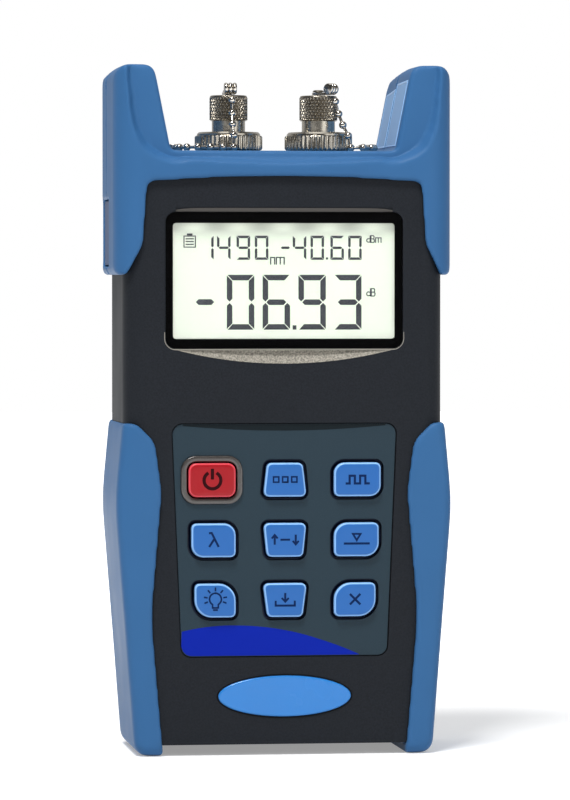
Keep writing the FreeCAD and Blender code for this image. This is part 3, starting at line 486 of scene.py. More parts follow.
@dataclass(frozen=True)
class LitPanel(Finish):
    """A reflective display panel with its backlight on: a soft glow with the backlight's faint spots, dimmed towards
    the top by painted shade.
    """

    glow: float = 0.5
    middle_z: float = 0.0
    half_tall: float = 15.0
    lamp_step: float = 11.4
    cloud_mm: float = 22.0

    def dress(self, tree: bpy.types.NodeTree, shader: bpy.types.Node) -> None:
        """Add the glow, its painted shade towards the upper edge, the lamps' spots and a slight cloudiness.

        Args:
            tree: The material's node tree.
            shader: Its principled shader.
        """
        place_on = self.where(tree)
        up = add_node(tree, "SeparateXYZ", {0: place_on}).outputs["Z"]
        top = self.middle_z + self.half_tall
        # painted shade: dimmer towards the upper edge, under the window's top
        top_shade = add_node(tree, "MapRange", {"Value": up, 1: (top - 5.0) * MM, 2: top * MM, 3: 1.0, 4: 0.72},
                        interpolation_type="SMOOTHSTEP")
        cloud = add_node(tree, "TexNoise", {"Vector": place_on, "Scale": PER_MM / self.cloud_mm, "Detail": 2.0})
        soft = add_node(tree, "MapRange", {"Value": cloud, 1: 0.3, 2: 0.7, 3: 0.97, 4: 1.03})
        across = add_node(tree, "SeparateXYZ", {0: place_on}).outputs["X"]
        turn = add_node(tree, "Math", {0: across, 1: 2 * math.pi / (self.lamp_step * MM)}, operation="MULTIPLY")
        wave = add_node(tree, "Math", {0: turn}, operation="COSINE")
        near = add_node(tree, "MapRange", {"Value": up, 1: (top - 2.2) * MM, 2: (top - 0.6) * MM, 3: 0.0, 4: 0.16},
                        interpolation_type="SMOOTHSTEP")
        spots = add_node(tree, "Math", {0: wave, 1: near}, operation="MULTIPLY")
        lamps = add_node(tree, "Math", {0: top_shade, 1: spots}, operation="ADD")
        level = add_node(tree, "Math", {0: lamps, 1: soft}, operation="MULTIPLY")
        tinted = add_node(tree, "Mix", {0: 1.0, 6: linear(self.tint), 7: level},
                          data_type="RGBA", blend_type="MULTIPLY").outputs[2]
        fill(tree, shader, {"Base Color": tinted, "Emission Color": tinted, "Emission Strength": self.glow})


# Grains, drifts and depths are in millimetres. The grain of a blasted or spark-eroded mould is about
# 0.1 mm across: it is drawn three to five times coarser, because it would not show otherwise.

# the soft overmould: a thermoplastic rubber over the shells, blasted mould, so broad soft highlights
OVERMOULD = Moulded("overmould_tpe_blue", "blue_rubber", "356392", 0.46, 0.35, 0.010, 0.05, gloss=0.14)
# the horns' inner panels: an elastomer with a satin skin, whose paler tint is painted light for the light the horns'
# inner faces catch
PANEL_RIM_LIT = Moulded("elastomer_blue_rim_painted_light", "blue_rubber", "93BCE8", 0.40, 0.35, 0.006, 0.05, gloss=0.2)
# the pads inside them, a little rougher, and painted a little less pale
PANEL_PAD_LIT = Moulded("elastomer_blue_pad_painted_light", "blue_rubber", "7AA2CE", 0.46, 0.35, 0.012, 0.05, gloss=0.2)
# both shells: ABS from a spark-eroded mould, so a dry, finely speckled dark grey
SHELL_ABS = Moulded("abs_spark_charcoal", "charcoal_plastic", "202328", 0.52, 0.45, 0.022, 0.05, specks=0.12,
                    gloss=0.1)
# the printed polyester overlay: a bead-textured film, flatter than the shell and a little blue
OVERLAY_FILM = Moulded("polyester_film_slate", "slate_film", "253640", 0.42, 0.3, 0.008, 0.04, specks=0.06,
                       gloss=0.2)
# screen ink under the film: an even, dense blue
CREST_INK = Moulded("screen_ink_royal", "slate_film", "00209C", 0.42, 0.3, 0.006, 0.05, gloss=0.12)
# painted shadow: a darker band at the overlay's top, where the shell's edge above it shades it
OVERLAY_SHADOW_PAINT = Moulded("painted_shadow_slate", "slate_film", "0C171C", 0.42, 0.3, 0.006, 0.05, gloss=0.15)
# dark print round the window, seen through the sheet
WINDOW_INK = Moulded("screen_ink_black", "black_foam", "020203", 0.8, 0.4, 0.001, 0.02, gloss=0.02)
# silicone-ABS keys with a satin skin; the paler tint on their rounded edges is a painted highlight, and the dark navy
# on their sides below the overlay's face is painted shade in the gap round each key
KEY_ABS = Moulded("abs_key_blue", "key_blue", "2664AC", 0.36, 0.3, 0.006, 0.05, coat=0.15, gloss=0.25,
                  highlight_tint="8FC0F6", shade_tint="071839", shade_y=-18.85)
# the red key: the same moulding in red, with the same painted highlight on its edges and painted shade on its sunk
# sides
POWER_ABS = Moulded("abs_key_red", "key_red", "9E0414", 0.32, 0.3, 0.006, 0.05, coat=0.2, gloss=0.25,
                    highlight_tint="E04854", shade_tint="1C0204", shade_y=-18.85)
# ink of the key signs
SIGN_INK = Moulded("pad_print_navy", "key_blue", "0B2450", 0.6, 0.3, 0.001, 0.03, gloss=0.1)
# the same pad print on the red key
POWER_INK = Moulded("pad_print_maroon", "key_red", "2C0308", 0.6, 0.3, 0.001, 0.03, gloss=0.1)
# the domed inlay: a resin drop over a printed label, glossy
DOME_RESIN = Moulded("resin_dome_blue", "inlay_blue", "2A7CC8", 0.25, 2.5, 0.004, 0.06, coat=0.4, gloss=0.3)
# painted shade: a black ring standing for the shade in the gap round the inlay
INLAY_GAP_SHADE = Moulded("painted_gap_shade_black", "black_foam", "0A0C10", 0.5, 0.4, 0.003, 0.05, gloss=0.1)
# the painted ring round the power key: metallic lacquer
BEZEL_LACQUER = Moulded("lacquer_gunmetal", "bezel_metal", "3C3734", 0.28, 0.25, 0.006, 0.10, coat=0.6,
                        specks=0.2, gloss=0.6)
# facet under the window: a silver-grey grain drawn coarser than real, so it glitters; its pale tone is partly painted
# light, for the light the upward-facing slope catches
FACET_GRAIN_LIT = Moulded("silver_grain_and_painted_light", "charcoal_plastic", "908B80", 0.42, 0.42, 0.05, 0.06, specks=0.4)
# painted highlight: a pale strip along the window seat's lower edge, where the rim catches the light
LIP_HIGHLIGHT = Moulded("painted_highlight_silver", "charcoal_plastic", "8E8A82", 0.3, 0.5, 0.004, 0.05, coat=0.4)
# painted highlight: the bevel over the window in a lighter grey than the shell, for the light it catches
BROW_HIGHLIGHT = Moulded("abs_painted_highlight_grey", "charcoal_plastic", "4C4946", 0.4, 0.45, 0.008, 0.05)
# turned brass with bright nickel plating: warm, with fine turning marks
NICKEL = Plated("brass_nickel_plated", "nickel", "B4AEA2", 0.24)
# the caps' crossed knurl: the same plating, rougher, with a darker tint that is painted shade for the knurl's pits
KNURL_NICKEL_SHADED = Plated("brass_nickel_knurled_pit_shade", "nickel", "8E877B", 0.33)
# rolled steel beads, barrel-plated: brighter than the turned pieces, so each bead shows a point of light
CHAIN_NICKEL = Plated("steel_nickel_plated", "nickel", "C6C0B6", 0.17, 0.8, 0.3, 0.002)
# zinc-plated steel heads and shanks: a cool, even grey
STEEL = Plated("steel_bright", "steel", "B9BBBD", 0.28)
# drawn spring wire and strip: a warm grey shine
SPRING = Plated("steel_spring", "spring_steel", "BDBDB8", 0.25)
# cast acrylic with a hard coat: clear, with one sharp highlight
CLEAR = ClearSheet("acrylic_hard_coated", "clear_plastic", "F4F7F6", 0.02)
# the lit display panel: a pale green-white reflector with its backlight on, and painted shade that dims it towards
# the top
PANEL = LitPanel("lcd_reflective_panel", "lcd_glass", "EAEEDF", 0.30, glow=0.5, middle_z=119.9, half_tall=14.3)
# the drive marks of the display: a dark liquid-crystal tone, a little blue
SEGMENT_TONE = Moulded("lcd_driven_segment", "lcd_glass", "3D3F49", 0.5, 3.0, 0.001, 0.03)
# moulded white ABS round the display: matt, so it spreads the light
WHITE_ABS = Moulded("abs_white", "white_plastic", "E4E4DF", 0.5, 0.5, 0.01, 0.03)
# die-cut closed-cell foam: open black cells, no shine
FOAM = Moulded("foam_closed_cell", "black_foam", "141414", 0.85, 0.3, 0.08, 0.10)
# pressed silicone rubber: a soft grey satin
SILICONE = Moulded("silicone_grey", "silicone", "8A8C8E", 0.6, 0.4, 0.01, 0.04)
# glass epoxy under a sprayed solder mask: a glossy dark green
SOLDER_MASK = Moulded("glass_epoxy_green", "board_green", "1B5E36", 0.35, 1.2, 0.01, 0.15)
# transfer-moulded epoxy of the chips: dry black
EPOXY_BLACK = Moulded("epoxy_moulding_black", "chip_black", "1B1B1C", 0.6, 0.2, 0.02, 0.05)
# shrunk foil jacket round the cells: smooth, with long highlights
CELL_JACKET = Moulded("foil_jacket_graphite", "cell_jacket", "3A3B40", 0.3, 4.0, 0.01, 0.10, coat=0.4)
# sintered and polished zirconia: bright white, almost no grain
CERAMIC = Moulded("zirconia_white", "ceramic_white", "ECEBE4", 0.15, 2.0, 0.001, 0.02)
# painted shade: a near-black cross standing in for the shade in the screws' cross recesses
RECESS_SHADE = Moulded("recess_painted_shade", "steel", "17181A", 0.6, 0.3, 0.01, 0.05)
# moulded black ABS of the socket: dull from its spark-eroded mould
BLACK_ABS = Moulded("abs_black", "black_plastic", "1A1A1C", 0.5, 0.4, 0.02, 0.05)
# moulded rubber of the port cover: a darker blue than the guard
FLAP_TPE = Moulded("flap_tpe_navy", "black_foam", "1F3F6B", 0.5, 0.4, 0.015, 0.05)

SLOT_FINISHES: dict[str, Finish] = {
    "blue_rubber": OVERMOULD, "charcoal_plastic": SHELL_ABS, "clear_plastic": CLEAR, "black_foam": FOAM,
    "lcd_glass": PANEL, "white_plastic": WHITE_ABS, "slate_film": OVERLAY_FILM, "key_blue": KEY_ABS,
    "key_red": POWER_ABS, "bezel_metal": BEZEL_LACQUER, "silicone": SILICONE, "spring_steel": SPRING,
    "board_green": SOLDER_MASK, "chip_black": EPOXY_BLACK, "steel": STEEL, "cell_jacket": CELL_JACKET,
    "inlay_blue": DOME_RESIN, "nickel": NICKEL, "ceramic_white": CERAMIC, "black_plastic": BLACK_ABS,
}


# ---------------------------------------------------------------- the part as it was packed

class Packed:
    """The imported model: its nodes, their slots and bodies."""

    def __init__(self) -> None:
        """Load the frame and keep its box."""
        self.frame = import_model()
        self.bounds = [list(corner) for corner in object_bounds()]
        self.slots = {part["node"]: part["material_slot"] for part in self.frame["record"]["subparts"]}

    def body(self, node: str) -> str:
        """The body that a node rides on."""
        return self.frame["nodes"][node]["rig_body"]

    def low(self, node: str) -> Vector:
        """A node's lowest corner in millimetres."""
        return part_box(node)[0] / MM

    def high(self, node: str) -> Vector:
        """A node's highest corner in millimetres."""
        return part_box(node)[1] / MM

    def ends(self, node: str) -> tuple[Vector, Vector]:
        """A node's lowest and highest corners in millimetres."""
        return self.low(node), self.high(node)

    def middle(self, node: str) -> Vector:
        """The middle of a node's box in millimetres."""
        return (self.low(node) + self.high(node)) / 2

    def dress(self) -> None:
        """Give every node the finish of its slot."""
        for name, node in self.frame["nodes"].items():
            finish = FLAP_TPE if name == "port_cover" else SLOT_FINISHES[self.slots[name]]
            if "chain" in name:
                finish = CHAIN_NICKEL
            if not node.data.materials:
                node.data.materials.append(None)
            for slot in node.material_slots:
                slot.material = finish.material()


@dataclass
class Softened:
    """A moulding whose edges are all rounded, grown from a node's own solid."""

    name: str
    nodes: tuple[str, ...]
    finish: Finish
    voxel: float = 0.5
    rounds: int = 6
    keep: float = 0.3
    against: tuple[str, ...] = ()
    seam: float | None = None
    first: int = 0

    def build(self, packed: Packed) -> bpy.types.Object:
        """Melt the edges of the nodes' solids and make one piece of them.

        Args:
            packed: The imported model.

        Returns:
            The piece, which stands for the nodes.
        """
        joined = bmesh.new()
        for node in self.nodes:
            joined.from_mesh(packed.frame["nodes"][node].data)
        bmesh.ops.remove_doubles(joined, verts=joined.verts, dist=1e-6)
        data = bpy.data.meshes.new(self.name)
        joined.to_mesh(data)
        joined.free()
        melted = self.shaped(data, "melt", "REMESH", mode="VOXEL", voxel_size=self.voxel * MM)
        self.carve(melted)
        even = self.shaped(melted, "even", "SMOOTH", factor=0.5, iterations=self.first)
        eased = self.shaped(even, "ease", "SMOOTH", self.pins(packed, even), factor=0.5, iterations=self.rounds)
        thin = self.shaped(eased, "thin", "DECIMATE", ratio=self.keep)
        if self.seam is not None:
            self.groove(thin)
        return place(self.name, thin, self.finish, packed.body(self.nodes[0]), self.nodes, 180.0)

    def carve(self, data: bpy.types.Mesh) -> None:
        """Shape the melted mesh further; a plain moulding needs nothing."""

    def shaped(self, data: bpy.types.Mesh, name: str, kind: str, pins: list[int] | None = None,
               **settings: object) -> bpy.types.Mesh:
        """Apply one modifier to a mesh.

        Args:
            data: The mesh to shape.
            name: The modifier's name.
            kind: Its type.
            pins: Points that it leaves alone.
            **settings: Its settings.

        Returns:
            The shaped mesh.
        """
        blank = put(self.name + "_" + name, data)
        modifier = blank.modifiers.new(name, kind)
        for setting, value in settings.items():
            setattr(modifier, setting, value)
        if pins:
            blank.vertex_groups.new(name="pins").add(pins, 1.0, "REPLACE")
            modifier.vertex_group = "pins"
            modifier.invert_vertex_group = True
        result = bpy.data.meshes.new_from_object(blank.evaluated_get(bpy.context.evaluated_depsgraph_get()))
        bpy.data.objects.remove(blank)
        return result

    def pins(self, packed: Packed, data: bpy.types.Mesh) -> list[int]:
        """The points that lie against the nodes the moulding was shot over.

        Args:
            packed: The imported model.
            data: The moulding's mesh.

        Returns:
            The numbers of those points.
        """
        found: set[int] = set()
        for node in self.against:
            core = bmesh.new()
            core.from_mesh(packed.frame["nodes"][node].data)
            tree = BVHTree.FromBMesh(core)
            core.free()
            for point in data.vertices:
                if tree.find_nearest(point.co, 0.35 * MM)[0] is not None:
                    found.add(point.index)
        return sorted(found)

    def groove(self, data: bpy.types.Mesh) -> None:
        """Cut the fine groove where two mouldings meet.

        Args:
            data: The mesh to cut.
        """
        cut = bmesh.new()
        cut.from_mesh(data)
        for off in (-0.14, 0.14, 0.0):
            bmesh.ops.bisect_plane(cut, geom=cut.verts[:] + cut.edges[:] + cut.faces[:], dist=1e-7,
                                   plane_co=(0, (self.seam + off) * MM, 0), plane_no=(0, 1, 0))
        cut.normal_update()
        for point in cut.verts:
            if abs(point.co.y - self.seam * MM) < 2e-6:
                inward = point.normal.copy()
                inward.y = 0
                if inward.length > 0.2:
                    point.co -= inward.normalized() * 0.28 * MM
        cut.to_mesh(data)
        cut.free()


@dataclass
class Guard(Softened):
    """The horned guard, whose hollow fronts reach out to a soft ridge near the horns' sides."""

    floor_y: float = -17.5
    # how far across the ridge is, and at what height
    ridge: tuple[Point, ...] = ((28.9, 151.2), (32.5, 152.3), (35.6, 154.5), (37.7, 158.4), (38.9, 163.7),
                                (39.6, 172.0), (39.8, 176.0))

    def carve(self, data: bpy.types.Mesh) -> None:
        """Push the front back inside the ridge.

        Args:
            data: The melted mesh.
        """
        for point in data.vertices:
            across, deep, up = abs(point.co.x) / MM, point.co.y / MM, point.co.z / MM
            if deep < self.floor_y and up > self.ridge[0][1] and across < self.reach(up):
                point.co.y = self.floor_y * MM

    def reach(self, up: float) -> float:
        """How far across the hollow goes.

        Args:
            up: The height in millimetres.

        Returns:
            The distance from the middle plane.
        """
        for (x0, z0), (x1, z1) in zip(self.ridge, self.ridge[1:]):
            if z0 <= up <= z1:
                return x0 + (x1 - x0) * (up - z0) / (z1 - z0)
        return self.ridge[-1][0]


@dataclass
class Screws:
    """The four screws in the back, with painted shade for their cross recesses."""

    packed: Packed
    places: tuple[Point, ...] = ((-34.6, 145.6), (34.6, 145.6), (-30.8, 11.5), (30.8, 11.5))

    def build(self) -> None:
        """Turn the heads and shanks and paint the recesses' shade as dark crosses."""
        low, high = self.packed.ends("case_screws")
        heads, recess = Builder("case_screw_heads"), Builder("case_screw_recesses")
        profile = ((1.2, low.y), (1.2, high.y - 2.0), (2.25, high.y - 2.0), (2.25, high.y - 0.8),
                   (2.05, high.y - 0.45), (1.5, high.y - 0.12), (0.7, high.y - 0.02), (0.01, high.y))
        for x, z in self.places:
            heads.rows([[(px, y, pz) for px, pz in oval(x, z, r, r, 32)] for r, y in profile])
            for wide, tall in ((1.25, 0.28), (0.28, 1.25)):
                recess.plate([(x - wide, z - tall), (x + wide, z - tall), (x + wide, z + tall), (x - wide, z + tall)],
                             high.y - 0.3, high.y + 0.015 + wide * 0.004)
        heads.finish(STEEL, "meter", ("case_screws",), 25.0)
        recess.finish(RECESS_SHADE, "meter")


@dataclass
class HornPanels:
    """The bordered panels on the horns' inner faces, two on each, painted paler for the light those faces catch."""

    packed: Packed
    foot_x: float = 28.7
    foot_z: float = 153.3
    top_x: float = 33.0
    border: float = 0.55
    proud: float = 0.16
    pad_proud: float = 0.08
    sunk: float = -0.3
    # each panel's front and back, and how far those corners lie under the horn's top
    spans: tuple[tuple[float, ...], ...] = ((-15.2, 1.6, 3.6, 4.0), (3.4, 17.0, 5.2, 6.4))

    def build(self) -> None:
        """Add the borders and pads of all four panels."""
        top = self.packed.high("top_guard_front").z
        for side in Side:
            piece, pads = Builder(side.value + "_horn_panels"), Builder(side.value + "_horn_pads")
            for front, back, front_down, back_down in self.spans:
                foot, b = self.foot_z + 1.2, self.border
                outer = [(front, foot), (back, foot), (back, top - back_down), (front, top - front_down)]
                inner = [(front + b, foot + b), (back - b, foot + b), (back - b, top - back_down - b),
                         (front + b, top - front_down - b)]
                self.frame((piece, pads), side, top, outer, inner)
            piece.finish(PANEL_RIM_LIT, "meter", smooth=20.0)
            pads.finish(PANEL_PAD_LIT, "meter", smooth=20.0)

    def frame(self, pieces: tuple[Builder, Builder], side: Side, top: float, outer: list[Point],
              inner: list[Point]) -> None:
        """One panel's border and pad on the leaning face.

        Args:
            pieces: Where the border and the pad go.
            side: The horn's side.
            top: Height of the face's top.
            outer: The border's outer corners, depth and height.
            inner: Its inner corners.
        """
        def spot(y: float, z: float, out: float) -> Spot:
            """A place on the leaning face, or out of it."""
            across = self.foot_x + (self.top_x - self.foot_x) * (z - self.foot_z) / (top - self.foot_z)
            return side.sign() * (across - out), y, z

        loops = ((outer, self.sunk), (outer, 0.02), (mix(outer, inner, 0.3), self.proud),
                 (mix(outer, inner, 0.7), self.proud), (inner, 0.02), (inner, self.sunk))
        pieces[0].rows([[spot(y, z, out) for y, z in loop] for loop, out in loops])
        centre = spot((inner[0][0] + inner[1][0]) / 2, (inner[0][1] + inner[2][1]) / 2, self.pad_proud)
        pieces[1].rows([[spot(y, z, out) for y, z in inner] for out in (self.sunk, self.pad_proud)]
                       + [[centre] * len(inner)])


# ---------------------------------------------------------------- window and display

@dataclass
class Window:
    """The window's print and reading, the trim round it with its painted highlights, and the painted shade in the gap
    round the inlay above.
    """

    packed: Packed
    view_half: float = 28.3
    view_low: float = 105.6
    view_high: float = 134.9
    ink_thick: float = 0.04
    seat_gap: float = 0.15
    seat_corner: float = 2.65
    facet_drop: float = 3.9
    facet_half: float = 29.2
    facet_deep: float = 1.5
    brow_tall: float = 0.95

    def build(self) -> None:
        """Print the border, lay the trim with its painted highlights and the painted shade round the inlay, and draw
        the reading.
        """
        self.border()
        self.facet()
        self.lip()
        self.gap_shade()
        self.brow()
        self.reading()

    def border(self) -> None:
        """The dark border on the back of the clear sheet."""
        low, high = self.packed.ends("display_window")
        outer = rounded_box(low.x + 0.1, low.z + 0.1, high.x - 0.1, high.z - 0.1, 2.4)
        inner = rounded_box(-self.view_half, self.view_low, self.view_half, self.view_high, 0.8)
        frame = Builder("window_border")
        back, front = high.y - 0.01, high.y - 0.01 - self.ink_thick
        frame.rows([[(x, y, z) for x, z in loop] for loop, y in
                    ((outer, front), (inner, front), (inner, back), (outer, back), (outer, front))])
        frame.finish(WINDOW_INK, "meter")

    def facet(self) -> None:
        """A skin on the crescent under the window: a shallow cone that meets the seat, painted pale in part for the
        light it catches.
        """
        face = self.packed.low("front_shell").y
        low = self.packed.low("display_window").z
        drop, half = self.facet_drop, self.facet_half
        radius = (half ** 2 + drop ** 2) / (2 * drop)
        centre = low - drop + radius
        rows = []
        for j in range(9):
            row = []
            for i in range(97):
                x = (half - 0.15) * (2 * i / 96 - 1)
                foot = centre - math.sqrt(radius ** 2 - x ** 2) + 0.03
                z = foot + (max(low - self.seat_gap, foot + 0.01) - foot) * j / 8
                away = math.hypot(x, z - centre)
                row.append((x, face + (radius - away) * self.facet_deep / drop - 0.03, z))
            rows.append(row)
        lay("window_facet", rows, FACET_GRAIN_LIT)

    def lip(self) -> None:
        """A painted highlight round the window seat's lower corners: a pale strip where the rim catches the light."""
        face, gap, corner = self.packed.low("front_shell").y, self.seat_gap, self.seat_corner
        low, high = self.packed.ends("display_window")
        left, right, base = low.x - gap + corner, high.x + gap - corner, low.z - gap + corner

        def path(out: float) -> list[Point]:
            """The way round both lower corners.

            Args:
                out: How far it lies out of the seat, in millimetres.

            Returns:
                Its points from left to right.
            """
            r = corner + out
            return ([(left - r, base + 1.6)] + arc(left, base, r, 180, 270, 10)
                    + [(x, base - r) for x in (-20, -10, 0, 10, 20)] + arc(right, base, r, 270, 360, 10)
                    + [(right + r, base + 1.6)])

        lay("window_lip_highlight", [[(x, face + deep, z) for x, z in path(out)] for out, deep in
                           ((0.0, 0.4), (0.03, 0.1), (0.12, -0.05), (0.24, -0.05), (0.34, 0.06))], LIP_HIGHLIGHT)

    def gap_shade(self) -> None:
        """The painted shade in the gap round the oval inlay: a dark ring."""
        face = self.packed.low("front_shell").y
        (low, high), middle = self.packed.ends("oval_inlay"), self.packed.middle("oval_inlay")
        wide, tall = (high.x - low.x) / 2, (high.z - low.z) / 2
        ring = Builder("inlay_gap_shade")
        ring.rows([[(x, face + deep, z) for x, z in oval(middle.x, middle.z, wide + out, tall + out, 128)]
                   for out, deep in ((0.0, 0.3), (0.01, -0.06), (0.15, -0.1), (0.4, -0.05), (0.5, 0.05), (0.5, 0.3))])
        ring.finish(INLAY_GAP_SHADE, "meter", smooth=20.0)

    def brow(self) -> None:
        """A paler skin on the narrow bevel over the window: a painted highlight where it catches the light."""
        face = self.packed.low("front_shell").y
        high = self.packed.high("display_window")
        half, top = high.x - 1.0, high.z + self.seat_gap
        spread = [2 * i / 32 - 1 for i in range(33)]
        lay("window_brow", [[(half * u, face + 0.5 * (1 - share) - 0.02, top + self.brow_tall * share * self.fade(u))
                             for u in spread] for share in (0.0, 0.5, 1.0)], BROW_HIGHLIGHT)

    def fade(self, share: float) -> float:
        """How tall the brow is at a share of its half width: it runs out at both ends."""
        return max(0.02, 1.0 - abs(share) ** 12)

    def reading(self) -> None:
        """The reading on the display: digits of slanted bars, signs, units and a cell sign."""
        marks = Builder("display_marks")
        y = self.packed.low("lcd_glass").y
        for layer, outline in enumerate(self.marks()):
            marks.plate(outline, y - 0.05 - 0.0004 * layer, y + 0.01)
        marks.finish(SEGMENT_TONE, "meter")

    def marks(self) -> list[list[Point]]:
        """Every mark of the reading as an outline.

        Returns:
            The outlines in millimetres, across and up.
        """
        found: list[list[Point]] = []
        small, large = Digit(3.45, 6.1, 0.62), Digit(7.0, 13.9, 1.4)
        for text, x in (("1", -21.3), ("4", -17.0), ("9", -12.0), ("0", -7.35),
                        ("4", 2.35), ("0", 6.9), ("6", 12.0), ("0", 16.55)):
            found += small.draw(text, x, 125.6)
        for text, x in (("0", -14.5), ("6", -5.35), ("9", 3.8), ("3", 12.95)):
            found += large.draw(text, x, 107.9)
        found += [hexagon(-0.7, 1.6, 128.65, 0.62), hexagon(-22.4, -17.7, 114.9, 1.45)]
        found += stroke([(11.0, 125.95), (11.2, 125.95)], 0.55) + stroke([(2.65, 108.45), (2.95, 108.45)], 1.1)
        found += Letters(1.75, 0.24).draw("dBm", 21.3, 130.0)
        found += Letters(1.9, 0.26).draw("dB", 21.3, 116.4)
        found += Letters(2.5, 0.3).draw("nm", -3.3, 124.5)
        found += stroke([(-25.4, 128.8), (-22.5, 128.8), (-22.5, 131.6), (-25.4, 131.6)], 0.25, closed=True)
        found += stroke([(-24.5, 132.0), (-23.4, 132.0)], 0.5)
        for z in (129.5, 130.2, 130.9):
            found += stroke([(-24.9, z), (-23.0, z)], 0.28)
        return found


def hexagon(left: float, right: float, z: float, bar: float) -> list[Point]:
    """A lying bar with pointed ends."""
    return [(left, z), (left + bar * 0.5, z + bar * 0.5), (right - bar * 0.5, z + bar * 0.5), (right, z),
            (right - bar * 0.5, z - bar * 0.5), (left + bar * 0.5, z - bar * 0.5)]


DIGIT_BARS = {"0": "abcdef", "1": "bc", "3": "abcdg", "4": "bcfg", "6": "acdefg", "9": "abcdfg"}


@dataclass
class Digit:
    """One digit of seven bars with slanted ends."""

    wide: float
    tall: float
    bar: float

    def draw(self, text: str, x: float, z: float) -> list[list[Point]]:
        """The bars of one digit.

        Args:
            text: The digit.
            x: Its left side.
            z: Its foot.

        Returns:
            One outline for each bar.
        """
        w, h, t, g = self.wide, self.tall, self.bar, self.bar * 0.13
        half = h / 2
        left_up = [(0, h - g), (t, h - t - g), (t, half + t * 0.5 + g), (t * 0.5, half + g), (0, half + t * 0.5 + g)]
        shapes = {
            "a": [(g, h), (w - g, h), (w - t - g * 0.3, h - t), (t + g * 0.3, h - t)],
            "d": [(t + g * 0.3, t), (w - t - g * 0.3, t), (w - g, 0), (g, 0)],
            "f": left_up,
            "e": [(px, h - pz) for px, pz in left_up],
            "b": [(w - px, pz) for px, pz in left_up],
            "c": [(w - px, h - pz) for px, pz in left_up],
            "g": hexagon(t * 0.55 + g, w - t * 0.55 - g, half, t),
        }
        return [[(x + px, z + pz) for px, pz in shapes[name]] for name in DIGIT_BARS[text]]


@dataclass
class Letters:
    """Plain stroked letters for units."""

    tall: float
    bar: float

    def draw(self, text: str, x: float, z: float) -> list[list[Point]]:
        """Stroke a short unit.

        Args:
            text: The unit's letters.
            x: Its left side.
            z: Its foot.

        Returns:
            The outlines of all strokes.
        """
        h = self.tall
        low = h * 0.68
        shapes = {
            "d": ([arc(0.25 * h, 0.3 * h, 0.26 * h, 60, 300, 10), [(0.5 * h, 0), (0.5 * h, h)]], 0.62),
            "B": ([[(0, 0), (0, h), (0.35 * h, h), (0.45 * h, 0.85 * h), (0.45 * h, 0.65 * h), (0.35 * h, 0.53 * h),
                    (0, 0.53 * h)],
                   [(0.35 * h, 0.53 * h), (0.5 * h, 0.38 * h), (0.5 * h, 0.15 * h), (0.38 * h, 0), (0, 0)]], 0.68),
            "m": ([[(0, 0), (0, low), (0.4 * h, low), (0.4 * h, 0)],
                   [(0.4 * h, low), (0.8 * h, low), (0.8 * h, 0)]], 0.98),
            "n": ([[(0, 0), (0, low), (0.4 * h, low), (0.4 * h, 0)]], 0.58),
        }
        found: list[list[Point]] = []
        for letter in text:
            lines, step = shapes[letter]
            for line in lines:
                found += stroke([(x + px, z + pz) for px, pz in line], self.bar)
            x += step * h
        return found


# ---------------------------------------------------------------- keypad

class Sign(Enum):
    """The plain signs on the keys."""

    POWER = "power"
    MODE = "mode"
    WAVE = "wave"
    LAMBDA = "lambda"
    UNITS = "units"
    REFERENCE = "ref"
    LIGHT = "light"
    SAVE = "save"
    DELETE = "delete"

    def lines(self) -> list[tuple[list[Point], float]]:
        """The sign's strokes about its middle.

        Returns:
            Each stroke's points and its width, in millimetres.
        """
        if self is Sign.POWER:
            return [(arc(0, -0.1, 1.75, 125, 415, 28), 0.62), ([(0, 0.3), (0, 2.1)], 0.62)]
        if self is Sign.MODE:
            square = ((-0.55, -0.55), (0.55, -0.55), (0.55, 0.55), (-0.55, 0.55), (-0.55, -0.55))
            return [([(x + px, pz) for px, pz in square], 0.3) for x in (-1.9, 0.0, 1.9)]
        if self is Sign.LIGHT:
            rays = [([(reach * math.cos(a), 0.25 + reach * math.sin(a)) for reach in (1.75, 2.35)], 0.3)
                    for a in (math.radians(d) for d in (-20, 10, 50, 90, 130, 170, 200))]
            return [(arc(0, 0.25, 1.25, -60, 240), 0.32), *rays,
                    ([(-0.6, -0.85), (-0.6, -1.55), (0.6, -1.55), (0.6, -0.85)], 0.3),
                    ([(-0.4, -2.0), (0.4, -2.0)], 0.3)]
        plain = {
            Sign.WAVE: [([(-2.4, -0.9), (-1.7, -0.9), (-1.7, 0.7), (-0.6, 0.7), (-0.6, -0.9), (0.5, -0.9), (0.5, 0.7),
                          (1.6, 0.7), (1.6, -0.9), (2.4, -0.9)], 0.42)],
            Sign.LAMBDA: [([(-0.9, 1.45), (-0.45, 1.5), (0.95, -1.3)], 0.4), ([(0.1, 0.25), (-0.9, -1.3)], 0.4)],
            Sign.UNITS: [([(-2.2, -0.9), (-2.2, 0.9)], 0.4), ([(-2.75, 0.35), (-2.2, 1.0), (-1.65, 0.35)], 0.36),
                         ([(2.2, 0.9), (2.2, -0.9)], 0.4), ([(1.65, -0.35), (2.2, -1.0), (2.75, -0.35)], 0.36),
                         ([(-0.9, 0), (0.9, 0)], 0.36)],
            Sign.REFERENCE: [([(-2.6, -0.9), (2.6, -0.9)], 0.4),
                             ([(-0.8, 1.1), (0.8, 1.1), (0, -0.2), (-0.8, 1.1)], 0.36)],
            Sign.SAVE: [([(0, 1.3), (0, -0.3)], 0.4), ([(-0.65, 0.3), (0, -0.4), (0.65, 0.3)], 0.36),
                        ([(-2.0, -0.3), (-2.0, -1.2), (2.0, -1.2), (2.0, -0.3)], 0.38)],
            Sign.DELETE: [([(-1.0, -1.0), (1.0, 1.0)], 0.42), ([(-1.0, 1.0), (1.0, -1.0)], 0.42)],
        }
        return plain[self]


